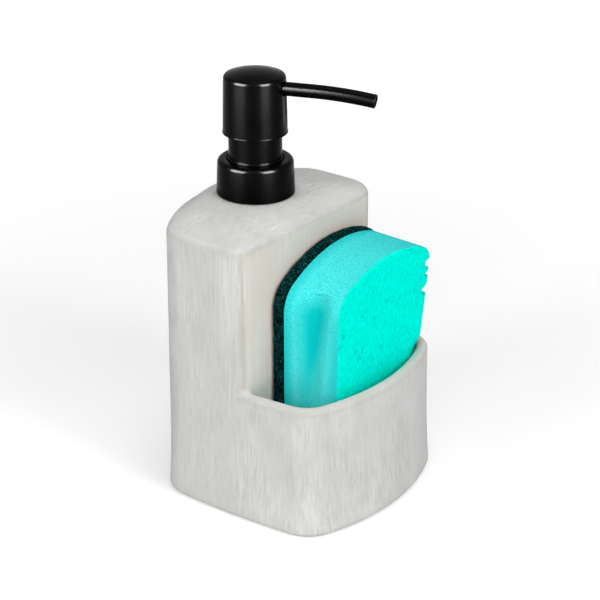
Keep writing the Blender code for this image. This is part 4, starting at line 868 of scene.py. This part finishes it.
def pad_points(edge_radius):
    """The scouring pad: the foam's back outline, a little wider, with softened edges."""
    turn = np.linspace(0.0, np.pi / 2.0, 4)
    flat = np.linspace(edge_radius, PAD_THICKNESS - edge_radius, PAD_RINGS + 2)[1:-1]
    depth = np.concatenate((edge_radius * (1.0 - np.cos(turn)), flat,
                            PAD_THICKNESS - edge_radius * (1.0 - np.sin(turn))))
    inset = edge_radius * np.concatenate(
        (1.0 - np.sin(turn), np.zeros(PAD_RINGS), 1.0 - np.cos(turn)))
    outline = sponge_outline(0.0 * inset, inset - PAD_OVERHANG)
    outline[..., 1] += PAD_OVERHANG
    middle = np.array((PAD_PEAK, SPONGE_MIDDLE))
    face = spread(1.0, 0.0, PAD_FACE_RINGS)[:, None, None]
    front = middle + (outline[-1] - middle) * face
    back = (middle + (outline[0] - middle) * face)[::-1]
    plan = np.concatenate((back, outline, front))
    x = np.concatenate((np.zeros(PAD_FACE_RINGS), depth,
                        np.full(PAD_FACE_RINGS, PAD_THICKNESS)))[:, None]
    x = np.broadcast_to(x, plan.shape[:2]) + SPONGE_BACK + PUMP_X
    return np.stack((x, plan[..., 0], plan[..., 1]), -1)


def uneven(points, scale, seed, octaves, most):
    """A smooth random field held between 0 and 1, with its middle at a half."""
    return 0.5 + 0.5 * np.clip(ripple(points, scale, seed, octaves) / most, -1.0, 1.0)


def roughened_foam(points, cut, through):
    """The foam's faces moved in by up to a third of a millimetre, softly, and more on the cut face.

    The upper part of its far front edge is torn: it is moved in further, in steep small bites.
    """
    low, high = TORN_HEIGHTS
    move = uneven(points, 9.0 * MM, SEED, 4, 1.6)
    torn = smooth_share(ripple(points * (0.3, 0.3, 1.0), 4.6 * MM, SEED + 5, 4), -0.05, 0.3)
    place = smooth_share(points[..., 1], TORN_SIDE - 9.0 * MM, TORN_SIDE + 1.0 * MM)
    place = place * smooth_share(points[..., 2], low, low + 4.0 * MM)
    place = place * (1.0 - smooth_share(points[..., 2], high - 3.0 * MM, high))
    back = PUMP_X + SPONGE_BACK + PAD_THICKNESS
    middle = np.array((back + FOAM_THICKNESS * 0.3, SPONGE_PEAK * 0.5, SPONGE_MIDDLE))
    moved = points + unit(middle - points) * (move * (0.10 + 0.22 * cut) * MM)[..., None]
    reach = TORN_DEPTH / FOAM_THICKNESS
    place = place * smooth_share(through, 1.0 - reach, 1.0 - 0.4 * reach)
    moved[..., 1] -= TORN_BITE * torn * place
    return moved


def roughened_pad(points):
    """The pad's surface moved in by up to a third of a millimetre, as uneven as matted fibres."""
    move = uneven(points, 4.0 * MM, SEED + 1, 3, 1.4)
    middle = np.array((PUMP_X + SPONGE_BACK + PAD_THICKNESS * 0.5, PAD_PEAK, SPONGE_MIDDLE))
    toward = (middle - points) * (1.0, 0.12, 0.12)
    toward = toward / np.maximum(np.linalg.norm(toward, axis=-1, keepdims=True), 1.0 * MM)
    return points + toward * (move * 0.3 * MM)[..., None]


# Finishes

class Finish:
    """A material's node tree with short calls for the nodes that the finishes share."""

    def __init__(self, name, colour, roughness, metallic=0.0):
        self.material = bpy.data.materials.new(name)
        self.material.use_nodes = True
        self.material.diffuse_color = (*colour, 1.0)
        self.tree = self.material.node_tree
        self.shader = self.tree.nodes["Principled BSDF"]
        self.set(Base_Color=(*colour, 1.0), Roughness=roughness, Metallic=metallic)
        self.place = self.add("ShaderNodeTexCoord").outputs["Object"]

    def add(self, kind, settings=(), **inputs):
        """A node with its own settings, and its inputs set to numbers or linked to outputs.

        An underscore stands for the space in an input's name.
        """
        node = self.tree.nodes.new(kind)
        for key, value in dict(settings).items():
            setattr(node, key, value)
        for key, value in inputs.items():
            self.link(node.inputs[key.replace("_", " ")], value)
        return node

    def link(self, socket, value):
        """Set a socket to a number or colour, or link an output to it."""
        if isinstance(value, bpy.types.NodeSocket):
            self.tree.links.new(value, socket)
        else:
            socket.default_value = value

    def set(self, **numbers):
        """Set the shader's own sockets, named with underscores for spaces."""
        for key, value in numbers.items():
            self.shader.inputs[key.replace("_", " ")].default_value = value

    def attribute(self, name):
        """The number that the mesh stores at each of its points under this name."""
        return self.add("ShaderNodeAttribute", {"attribute_name": name}).outputs["Fac"]

    def height(self):
        """The height of a point, in metres."""
        return self.add("ShaderNodeSeparateXYZ", Vector=self.place).outputs["Z"]

    def stretched(self, x, y, z, source=None):
        """The coordinates, scaled on each axis."""
        node = self.add("ShaderNodeVectorMath", {"operation": "MULTIPLY"},
                        Vector=self.place if source is None else source)
        node.inputs[1].default_value = (x, y, z)
        return node.outputs["Vector"]

    def noise(self, scale, detail=4.0, rough=0.55, vector=None, warp=0.0):
        """Soft random patches, from 0 to 1."""
        return self.add("ShaderNodeTexNoise", Vector=self.place if vector is None else vector,
                        Scale=scale, Detail=detail, Roughness=rough, Distortion=warp).outputs["Fac"]

    def cells(self, scale, feature="F1", vector=None):
        """The distance to the nearest of scattered points, or to the edge between two of them."""
        return self.add("ShaderNodeTexVoronoi", {"feature": feature}, Scale=scale,
                        Vector=self.place if vector is None else vector).outputs["Distance"]

    def ranged(self, value, low, high, to_low=0.0, to_high=1.0):
        """A value moved smoothly from one range to another, and held within it."""
        node = self.add("ShaderNodeMapRange", {"interpolation_type": "SMOOTHSTEP"}, Value=value,
                        From_Min=low, From_Max=high, To_Min=to_low, To_Max=to_high)
        return node.outputs["Result"]

    def maths(self, operation, first, second, held=False):
        """One sum of two values, held between 0 and 1 or not."""
        node = self.add("ShaderNodeMath", {"operation": operation, "use_clamp": held})
        self.link(node.inputs[0], first)
        self.link(node.inputs[1], second)
        return node.outputs[0]

    def times(self, first, second, held=False):
        """One value times another."""
        return self.maths("MULTIPLY", first, second, held)

    def plus(self, first, second, held=False):
        """One value plus another."""
        return self.maths("ADD", first, second, held)

    def larger(self, first, second, held=False):
        """The larger of two values."""
        return self.maths("MAXIMUM", first, second, held)

    def between(self, share, first, second):
        """A number that moves from the first to the second by a share."""
        node = self.add("ShaderNodeMix")
        for socket, value in zip((0, 2, 3), (share, first, second)):
            self.link(node.inputs[socket], value)
        return node.outputs[0]

    def blend(self, share, first, second):
        """Two colours mixed by a share."""
        node = self.add("ShaderNodeMix", {"data_type": "RGBA"})
        self.link(node.inputs[0], share)
        for socket, colour in ((6, first), (7, second)):
            is_linked = isinstance(colour, bpy.types.NodeSocket)
            self.link(node.inputs[socket], colour if is_linked else (*colour, 1.0))
        return node.outputs[2]

    def bump(self, height, strength, depth):
        """Fine relief, from a height and its depth in metres, on top of any that is there."""
        node = self.add("ShaderNodeBump", Height=height, Strength=strength, Distance=depth)
        before = self.shader.inputs["Normal"]
        if before.is_linked:
            self.link(node.inputs["Normal"], before.links[0].from_socket)
        self.link(before, node.outputs["Normal"])

    def paint(self, colour, roughness):
        """Link a colour and a roughness to the shader."""
        self.link(self.shader.inputs["Base Color"], colour)
        self.link(self.shader.inputs["Roughness"], roughness)


def glaze(settings):
    """Matte glazed ceramic: a grey wash brushed on in fine strokes, wiped off in places.

    Its ware colour is also painted shade down the step's corners and along the top edge, and its
    cream on the step's face is partly painted light.
    """
    skin = Finish("brushed_glaze", settings.wash, 0.5)
    top, chalky = skin.attribute("top"), skin.attribute("chalky")
    strokes = []
    for scale in (2500.0, 820.0):
        wall = skin.noise(scale, 3.0, 0.62, skin.stretched(1.0, 1.0, STROKE_STRETCH))
        across = skin.noise(scale, 3.0, 0.62, skin.stretched(1.0, STROKE_STRETCH * 1.6, 1.0))
        strokes.append(skin.between(top, wall, across))
    fine, wide = strokes
    cloud = skin.ranged(skin.noise(60.0, 3.0, 0.6, skin.stretched(1.0, 1.0, 0.45)), 0.44, 0.66)
    cloud = skin.plus(cloud, chalky, True)
    laid = skin.plus(skin.times(skin.ranged(fine, 0.42, 0.70), 0.45),
                     skin.times(skin.ranged(wide, 0.40, 0.68), 0.45))
    laid = skin.times(laid, skin.plus(skin.times(cloud, 0.85), 0.08), True)
    laid = skin.plus(laid, skin.times(chalky, 0.22), True)
    thin = skin.times(skin.ranged(fine, 0.34, 0.54, 1.0, 0.0),
                      skin.ranged(skin.noise(90.0, 3.0, 0.6), 0.35, 0.65, 0.2, 0.5))
    shadow = skin.noise(34.0, 3.0, 0.6, skin.stretched(1.0, 1.0, 0.6))
    thin = skin.plus(thin, skin.ranged(shadow, 0.46, 0.68, 0.0, 0.3), True)
    # warm: wiped ware, and painted shade down the step's corners and along the top edge
    wiped = skin.noise(170.0, 4.0, 0.6, skin.stretched(1.0, 1.0, 0.3))
    warm = skin.times(skin.attribute("warm"), skin.ranged(wiped, 0.30, 0.62, 0.6, 1.0), True)
    colour = skin.blend(thin, settings.wash, settings.shade)
    colour = skin.blend(warm, colour, settings.ware)
    # cream: the pocket's own light ware; on the step's face partly painted light, lifting it out of
    # the sponge's shade and green bounce
    colour = skin.blend(skin.times(skin.attribute("face"), 0.9), colour, settings.cream)
    colour = skin.blend(skin.times(laid, settings.stroke_share), colour, settings.stroke)
    skin.paint(colour, skin.plus(skin.times(wide, 0.16), 0.46))
    skin.bump(fine, 0.3, 0.04 * MM)
    skin.bump(skin.noise(300.0, 5.0, 0.6), 0.2, 0.05 * MM)
    skin.set(Specular_IOR_Level=0.0)
    return skin.material


def black_enamel(settings):
    """Satin black lacquer: nearly black, with a very fine texture that softens its highlights."""
    skin = Finish("black_enamel", settings.black, settings.roughness)
    grain, cloud = skin.noise(2600.0, 4.0, 0.6), skin.noise(120.0, 3.0, 0.5)
    rough = skin.plus(skin.times(cloud, 0.03), settings.roughness - 0.035)
    skin.paint(skin.blend(skin.ranged(cloud, 0.35, 0.7), settings.black, settings.black_light),
               skin.plus(skin.times(grain, 0.04), rough))
    skin.bump(grain, 0.015, 0.02 * MM)
    skin.set(Specular_IOR_Level=settings.gloss)
    return skin.material


def foam_finish(settings):
    """Open-cell foam: finely mottled sides, and a brighter cut face with small torn pits.

    The sides have painted shade beside the pad and beside the cut face, more of it lower down, and
    in the groove, in the same darker colour as their mottle.
    """
    skin = Finish("turquoise_foam", settings.foam, 0.85)
    cut, through, height = skin.attribute("cut"), skin.attribute("through"), skin.height()
    # painted shade: darker bands beside the pad and the cut face, stronger lower down, and in the
    # groove
    near_pad = skin.times(skin.ranged(through, 0.02, 0.24, 0.8, 0.0),
                          skin.ranged(height, *FOAM_SHADE_HEIGHTS, 1.0, 0.7))
    near_face = skin.times(skin.ranged(through, 0.74, 0.98, 0.0, 0.7),
                           skin.ranged(height, *FOAM_SHADE_HEIGHTS, 1.0, 0.15))
    groove = skin.times(skin.attribute("groove"), 1.1)
    mottled = skin.times(skin.ranged(skin.noise(1900.0, 2.0, 0.7), 0.42, 0.60),
                         skin.ranged(height, 60.0 * MM, 95.0 * MM, 0.36, 0.6))
    specks = skin.ranged(skin.noise(800.0, 1.0, 0.5), 0.66, 0.72, 0.0, 0.3)
    side = skin.blend(skin.larger(skin.larger(near_pad, near_face), groove, True),
                      settings.foam_side, settings.foam_mottle_and_shade)
    side = skin.blend(mottled, side, settings.foam_mottle_and_shade)
    side = skin.blend(specks, side, settings.foam_pit)
    torn = skin.noise(900.0, 2.0, 0.55, skin.stretched(1.0, 1.0, 0.6))
    deep = skin.noise(430.0, 2.0, 0.5, skin.stretched(1.0, 1.2, 0.7), 0.5)
    soft = skin.noise(600.0, 3.0, 0.6, skin.stretched(1.0, 1.0, 0.7))
    pits = skin.larger(skin.ranged(torn, 0.56, 0.70, 0.0, 0.28),
                       skin.ranged(deep, 0.66, 0.71, 0.0, 0.6))
    pits = skin.larger(pits, skin.ranged(soft, 0.42, 0.66, 0.0, 0.22))
    face = skin.blend(pits, settings.foam, settings.foam_pit)
    edge = skin.times(skin.times(cut, skin.maths("SUBTRACT", 1.0, cut)), 1.2, True)
    cells = skin.cells(1250.0)
    skin.paint(skin.blend(edge, skin.blend(cut, side, face), settings.foam_pit),
               skin.plus(skin.times(cells, 0.2), 0.74))
    skin.bump(cells, 0.5, 0.3 * MM)
    skin.bump(skin.times(skin.times(pits, cut), -1.0), 0.8, 0.5 * MM)
    skin.set(Specular_IOR_Level=0.0)
    return skin.material


def scourer_finish(settings):
    """Scouring pad: matted coarse fibres, nearly black between them and dark green on top.

    Its lighter fibres, in patches, grow stronger towards its top as painted light.
    """
    skin = Finish("scouring_fibres", settings.pad, 0.8)
    swirl = skin.add("ShaderNodeTexNoise", Vector=skin.place, Scale=260.0, Detail=3.0)
    bent = skin.add("ShaderNodeVectorMath", {"operation": "ADD"}, Vector=skin.place)
    skin.link(bent.inputs[1], skin.stretched(*FIBRE_BEND, swirl.outputs["Color"]))
    coarse, fine = (skin.cells(scale, "DISTANCE_TO_EDGE", bent.outputs["Vector"])
                    for scale in (760.0, 1500.0))
    fibre = skin.larger(skin.ranged(coarse, 0.02, 0.10, 1.0, 0.0),
                        skin.times(skin.ranged(fine, 0.02, 0.12, 1.0, 0.0), 0.7))
    patch = skin.ranged(skin.noise(1100.0, 2.0, 0.6), 0.44, 0.58)
    # painted light: the lighter fibres grow stronger towards the pad's top
    painted_top_light = skin.ranged(skin.height(), 80.0 * MM, 105.0 * MM, 0.6, 1.0)
    colour = skin.blend(fibre, settings.pad_deep, settings.pad)
    colour = skin.blend(skin.times(skin.times(fibre, patch), painted_top_light), colour, settings.pad_light)
    skin.paint(colour, skin.plus(skin.times(fibre, -0.25), 0.85))
    skin.bump(fibre, 1.0, 0.5 * MM)
    skin.set(Specular_IOR_Level=0.0)
    return skin.material


def moulded_plastic(name, colour, roughness, see_through=0.0):
    """Injection-moulded plastic: faint flow marks and an even, slightly pebbled skin."""
    skin = Finish(name, colour, roughness)
    flow = skin.noise(260.0, 3.0, 0.5, skin.stretched(1.0, 1.0, 0.2))
    pebble = skin.noise(2400.0, 2.0, 0.5)
    skin.paint(skin.blend(skin.ranged(flow, 0.4, 0.7), colour, [part * 0.86 for part in colour]),
               skin.plus(skin.times(pebble, 0.12), roughness - 0.06))
    skin.bump(pebble, 0.15, 0.02 * MM)
    skin.set(Subsurface_Weight=see_through, Subsurface_Scale=2.0 * MM, Specular_IOR_Level=0.02)
    return skin.material


def turned_steel(name, colour, roughness, along):
    """Bright steel with fine drawing or polishing lines."""
    skin = Finish(name, colour, roughness, 1.0)
    line = skin.noise(3000.0, 3.0, 0.6, skin.stretched(*along))
    skin.paint(skin.blend(skin.ranged(line, 0.35, 0.7), colour, [part * 0.82 for part in colour]),
               skin.plus(skin.times(line, 0.14), roughness - 0.07))
    skin.bump(line, 0.12, 0.01 * MM)
    return skin.material


def soft_rubber(name, colour):
    """Moulded rubber: dull, with a dusty bloom."""
    skin = Finish(name, colour, 0.75)
    bloom = skin.noise(500.0, 5.0, 0.65)
    lighter = [part * 1.5 + 0.01 for part in colour]
    skin.paint(skin.blend(skin.ranged(bloom, 0.45, 0.8), colour, lighter),
               skin.plus(skin.times(bloom, 0.2), 0.62))
    skin.bump(bloom, 0.2, 0.03 * MM)
    skin.set(Specular_IOR_Level=0.01)
    return skin.material


# Sizes and colours that a user would change

def colour_property(name, description, default):
    """A colour setting."""
    return bpy.props.FloatVectorProperty(name=name, description=description, default=default,
                                         subtype="COLOR", size=3, min=0.0, max=1.0)


def share_property(name, description, default, low=0.0):
    """A setting from a low end up to 1."""
    return bpy.props.FloatProperty(name=name, description=description, default=default,
                                   subtype="FACTOR", min=low, max=1.0)


class VesselSettings(bpy.types.PropertyGroup):
    """Colours of the glazed vessel."""

    wash: colour_property("Wash", "Grey of the brushed glaze", (0.63, 0.627, 0.619))
    # on the step's face partly painted light: lighter than its ware, against the sponge's shade and
    # green bounce
    cream: colour_property("Cream", "Warm, light ware on the step's face", (0.75, 0.672, 0.605))
    shade: colour_property("Shade", "Darker grey between fine strokes", (0.46, 0.457, 0.447))
    stroke: colour_property("Stroke", "White of the brush strokes", (0.84, 0.84, 0.84))
    # ware is also the colour of the painted shade down the step's corners and along the top edge
    ware: colour_property("Ware", "Warm tint where the wash is wiped off", (0.475, 0.455, 0.385))
    stroke_share: share_property("Stroke strength", "How white the strokes are over the wash", 0.7)


class PumpSettings(bpy.types.PropertyGroup):
    """Finish of the black pump."""

    black: colour_property("Black", "Colour of the enamel", (0.0004, 0.0003, 0.0003))
    black_light: colour_property("Lighter black", "Colour in its clouds", (0.0012, 0.0010, 0.0009))
    roughness: share_property("Roughness", "How far the enamel blurs what it reflects", 0.2, 0.07)
    gloss: share_property("Gloss", "How much the enamel reflects, 0.5 being plain lacquer", 0.022)
    sides: bpy.props.IntProperty(
        name="Sides", description="Faces round each turned piece", default=160, min=32, max=360)


class SpongeSettings(bpy.types.PropertyGroup):
    """Shape and colours of the sponge."""

    foam: colour_property("Foam", "Colour of the cut front face", (0.0, 0.97, 0.79))
    foam_side: colour_property("Foam sides", "Colour of the foam's sides", (0.09, 0.80, 0.80))
    # also the colour of the painted shade beside the pad, beside the cut face and in the groove
    foam_mottle_and_shade: colour_property("Dense foam", "Colour where the foam is dense", (0.002, 0.54, 0.55))
    foam_pit: colour_property("Foam pits", "Colour in the torn pits", (0.0, 0.46, 0.42))
    pad: colour_property("Pad", "Colour of the scourer's fibres", (0.004, 0.022, 0.026))
    pad_deep: colour_property("Pad gaps", "Colour between the fibres", (0.0012, 0.007, 0.009))
    # its share grows towards the pad's top as painted light
    pad_light: colour_property("Pad fibres", "Colour of the worn fibres", (0.02, 0.19, 0.17))
    grip_depth: bpy.props.FloatProperty(
        name="Groove depth", description="Depth of the groove down each side",
        default=4.4 * MM, min=0.0, max=6.0 * MM, unit="LENGTH")


class StageSettings(bpy.types.PropertyGroup):
    """Camera and studio."""

    place: bpy.props.FloatVectorProperty(
        name="Camera place", description="Where the camera stands",
        default=(0.39405, -0.5088, 0.3759), size=3, subtype="TRANSLATION", unit="LENGTH")
    aim: bpy.props.FloatVectorProperty(
        name="Camera direction", description="Which way the camera looks",
        default=(-0.5551, 0.7185, -0.4191), size=3, subtype="DIRECTION")
    lens: bpy.props.FloatProperty(
        name="Lens", description="Focal length on a 36 mm sensor",
        default=104.116, min=10.0, max=400.0, unit="CAMERA")
    lamp_share: bpy.props.FloatProperty(
        name="Lamps", description="Brightness of all the lamps", default=1.0, min=0.0, max=4.0)
    room: share_property("Room light", "Brightness of the even light from all sides", 0.16)


# Operators

class DISPENSER_OT_vessel(bpy.types.Operator):
    """Build the glazed vessel with its neck, reservoir and sponge pocket"""

    bl_idname = "dispenser.vessel"
    bl_label = "Glazed vessel"

    def execute(self, context):
        patches = vessel_patches()
        names = ("outer", "lip", "tower", "reservoir", "pocket")
        tower, none, full = patches[2], np.zeros((1, 1)), np.ones((1, 1))
        inwards = smooth_share(np.linspace(0.0, 1.0, len(patches[1]))[:, None], 0.1, 0.8)
        values = {
            "warm": [wiped_and_shaded_share(grid, name) for grid, name in zip(patches, names)],
            "face": [none, inwards * POCKET_CREAM, face_share(tower), none, full * POCKET_CREAM],
            "top": [none, none, top_share(tower), full, none],
            "chalky": [none, none, chalky_share(tower), none, none],
        }
        closed = (True, False, True, True, True)
        data = add_mesh("glazed_vessel", list(zip(patches, closed)), [(0, 0), (3, -1), (4, -1)],
                        values)
        add_piece("glazed_vessel", data, glaze(context.scene.dispenser_vessel), "vessel",
                  "ceramic_body", 60.0)
        return {"FINISHED"}


class DISPENSER_OT_pump(bpy.types.Operator):
    """Build the pump's black collar, neck, head and spout"""

    bl_idname = "dispenser.pump"
    bl_label = "Black pump"

    def execute(self, context):
        settings = context.scene.dispenser_pump
        enamel = black_enamel(settings)
        for node, outline, closed, body in (
                ("collar_shell", collar_profile(), True, "collar"),
                ("neck_sleeve", sleeve_profile(), True, "collar"),
                ("head_shell", head_profile(), False, "head")):
            data = add_mesh(node + "_skin", [(turned(outline, closed, settings.sides), True)])
            piece = add_piece(node + "_skin", data, enamel, body, node)
            if node == "head_shell":
                drill(piece, SPOUT_RADIUS + SPOUT_HOLE_GAP)
        data = add_mesh("spout_skin", [(spout_points(), True)])
        add_piece("spout_skin", data, enamel, "head", "spout_tube", 50.0)
        return {"FINISHED"}


class DISPENSER_OT_sponge(bpy.types.Operator):
    """Build the foam block and the scouring pad bonded to its back"""

    bl_idname = "dispenser.sponge"
    bl_label = "Sponge"

    def execute(self, context):
        settings = context.scene.dispenser_sponge
        points, values = foam_points(settings.grip_depth, SPONGE_EDGE_RADIUS)
        points = roughened_foam(points, values["cut"], values["through"])
        data = add_mesh("foam_block", [(points, True)], [(0, 0)],
                        {key: [value] for key, value in values.items()})
        foam = add_piece("foam_block", data, foam_finish(settings), "sponge", "sponge_foam", 50.0)
        data = add_mesh("scourer_layer", [(roughened_pad(pad_points(SPONGE_EDGE_RADIUS)), True)])
        pad = add_piece("scourer_layer", data, scourer_finish(settings), "sponge",
                        "scouring_pad", 50.0)
        return {"FINISHED"}


class DISPENSER_OT_inner(bpy.types.Operator):
    """Give the parts inside the pump their plastic, rubber and steel, and coil the spring"""

    bl_idname = "dispenser.inner"
    bl_label = "Inner parts"

    def execute(self, context):
        finishes = {
            moulded_plastic("clear_moulding", (0.60, 0.62, 0.61), 0.35, 0.2): (
                "pump_housing", "pump_stem", "stem_guide", "spring_seat"),
            moulded_plastic("clear_tube", (0.64, 0.66, 0.65), 0.28, 0.3): ("dip_tube",),
            moulded_plastic("black_moulding", (0.02, 0.02, 0.02), 0.45): (
                "neck_bush", "collar_nut", "head_core"),
            soft_rubber("gasket_rubber", (0.03, 0.03, 0.03)): ("neck_gasket",),
            soft_rubber("seal_rubber", (0.34, 0.34, 0.33)): ("piston_seal",),
            turned_steel("valve_steel", (0.72, 0.72, 0.72), 0.14, (1.0, 1.0, 1.0)): (
                "inlet_ball", "outlet_ball"),
        }
        for material, names in finishes.items():
            for name in names:
                for place in NODES[name].material_slots:
                    place.material = material
        data = add_mesh("coil_spring", [(coil_points(), True)], [(0, 0), (0, -1)])
        wire = turned_steel("spring_wire", (0.62, 0.61, 0.6), 0.28, (0.3, 0.3, 1.0))
        spring = add_piece("coil_spring", data, wire, "pump", "return_spring", 60.0)
        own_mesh(spring)
        return {"FINISHED"}


class DISPENSER_OT_stage(bpy.types.Operator):
    """Set the camera, the pale floor, the lamps and the white surroundings"""

    bl_idname = "dispenser.stage"
    bl_label = "Camera and studio"

    def execute(self, context):
        settings = context.scene.dispenser_stage
        camera = add_object("camera", bpy.data.cameras.new("camera"))
        camera.data.lens = settings.lens
        camera.data.sensor_width = 36.0
        camera.data.clip_start = 0.01
        camera.location = settings.place
        camera.rotation_euler = looking(Vector(settings.aim))
        context.scene.camera = camera
        context.scene.view_settings.view_transform = "Standard"
        add_floor()
        add_room(settings.room)
        for name, place, size, power, only_reflected in LAMPS:
            lamp = add_object(name, bpy.data.lights.new(name, "AREA"))
            lamp.data.shape = "RECTANGLE"
            lamp.data.size, lamp.data.size_y = size
            lamp.data.energy = power * settings.lamp_share
            lamp.location = place
            lamp.rotation_euler = looking(LAMP_TARGET - lamp.location)
            lamp.visible_diffuse = not only_reflected
        return {"FINISHED"}


# Studio: each lamp's name, place, size, watts, and whether only reflections show it

LAMPS = (
    ("front_window", (0.75, -0.85, 0.60), (1.50, 1.50), 8.6, False),
    ("left_window", (-0.25, -0.95, 0.62), (0.30, 0.60), 3.5, False),
    ("right_window", (0.96, -0.10, 0.66), (0.30, 0.60), 3.9, False),
    ("overhead", (0.05, 0.10, 1.15), (0.60, 0.60), 4.2, False),
    ("left_sheen", (-0.31, -1.00, 0.46), (0.80, 0.90), 640.0, True),
    ("right_sheen", (0.98, -0.22, 0.46), (0.60, 0.90), 490.0, True),
)
LAMP_TARGET = Vector((0.0, 0.0, 0.08))
FLOOR_REACH = 6.0
FLOOR_DROP = 0.02 * MM


def looking(direction):
    """The turn of a camera or lamp that looks along a direction."""
    return direction.to_track_quat("-Z", "Y").to_euler()


def seen_as_white(tree, low, high):
    """A strength: high for rays that see the background, low for rays that light the object."""
    path = tree.nodes.new("ShaderNodeLightPath")
    seen = path.outputs["Is Camera Ray"]
    for name in ("Is Glossy Ray", "Is Transmission Ray"):
        both = tree.nodes.new("ShaderNodeMath")
        both.operation = "MAXIMUM"
        tree.links.new(seen, both.inputs[0])
        tree.links.new(path.outputs[name], both.inputs[1])
        seen = both.outputs[0]
    strength = tree.nodes.new("ShaderNodeMapRange")
    tree.links.new(seen, strength.inputs["Value"])
    strength.inputs["To Min"].default_value = low
    strength.inputs["To Max"].default_value = high
    return strength.outputs["Result"]


def add_room(level):
    """Even light from all sides, seen as plain white."""
    world = bpy.data.worlds.new("white_room")
    bpy.context.scene.world = world
    world.use_nodes = True
    background = world.node_tree.nodes["Background"]
    background.inputs["Color"].default_value = (1.0, 1.0, 1.0, 1.0)
    world.node_tree.links.new(seen_as_white(world.node_tree, level, 1.0),
                              background.inputs["Strength"])


def add_floor():
    """A wide, pale floor that takes the object's shadow and is otherwise seen as white.

    It is a disc whose rings' radii grow with the square of their number.
    """
    cos, sin = around(96)
    radius = FLOOR_REACH * np.linspace(0.02, 1.0, 24)[:, None] ** 2
    x, y = radius * cos, radius * sin
    grid = np.stack((x, y, np.full_like(x, -FLOOR_DROP)), -1)
    data = add_mesh("pale_floor", [(grid, True)], [(0, 0)])
    if data.polygons[0].normal.z < 0.0:
        data.flip_normals()
    skin = Finish("pale_floor", (0.86, 0.86, 0.86), 0.9)
    mottle = skin.noise(3.0, 3.0, 0.5)
    skin.paint(skin.blend(mottle, (0.85, 0.85, 0.85), (0.88, 0.88, 0.88)),
               skin.plus(skin.times(mottle, 0.1), 0.85))
    skin.set(Specular_IOR_Level=0.0, Emission_Color=(1.0, 1.0, 1.0, 1.0))
    away = skin.add("ShaderNodeVectorMath", {"operation": "LENGTH"}, Vector=skin.place)
    white = skin.ranged(away.outputs["Value"], 0.12, 1.0, 0.28, 1.0)
    skin.link(skin.shader.inputs["Emission Strength"],
              skin.times(seen_as_white(skin.tree, 0.0, 1.0), white))
    data.materials.append(skin.material)
    add_object("pale_floor", data)


# Add-on

PANEL_ROWS = (
    ("dispenser_vessel", VesselSettings, DISPENSER_OT_vessel),
    ("dispenser_pump", PumpSettings, DISPENSER_OT_pump),
    ("dispenser_sponge", SpongeSettings, DISPENSER_OT_sponge),
    ("", None, DISPENSER_OT_inner),
    ("dispenser_stage", StageSettings, DISPENSER_OT_stage),
)
GROUPS = {name: kind for name, kind, _ in PANEL_ROWS if name}
OPERATORS = [operator for _, _, operator in PANEL_ROWS]


class DISPENSER_PT_panel(bpy.types.Panel):
    """Lists the dispenser's settings and pieces"""

    bl_label = "Dispenser"
    bl_idname = "DISPENSER_PT_panel"
    bl_space_type = "VIEW_3D"
    bl_region_type = "UI"
    bl_category = "Dispenser"

    def draw(self, context):
        for name, kind, operator in PANEL_ROWS:
            for key in kind.__annotations__ if kind else ():
                self.layout.prop(getattr(context.scene, name), key)
            self.layout.operator(operator.bl_idname)


def register():
    """Add the settings, the operators and the panel."""
    for kind in (*GROUPS.values(), *OPERATORS, DISPENSER_PT_panel):
        bpy.utils.register_class(kind)
    for name, kind in GROUPS.items():
        setattr(bpy.types.Scene, name, bpy.props.PointerProperty(type=kind))


def unregister():
    """Take them away again."""
    for name in GROUPS:
        delattr(bpy.types.Scene, name)
    for kind in reversed((*GROUPS.values(), *OPERATORS, DISPENSER_PT_panel)):
        bpy.utils.unregister_class(kind)


def main():
    """Dress the dispenser and set its stage."""
    register()
    bpy.ops.dispenser.vessel()
    bpy.ops.dispenser.pump()
    bpy.ops.dispenser.sponge()
    bpy.ops.dispenser.inner()
    bpy.ops.dispenser.stage()


if __name__ == "__main__":
    main()
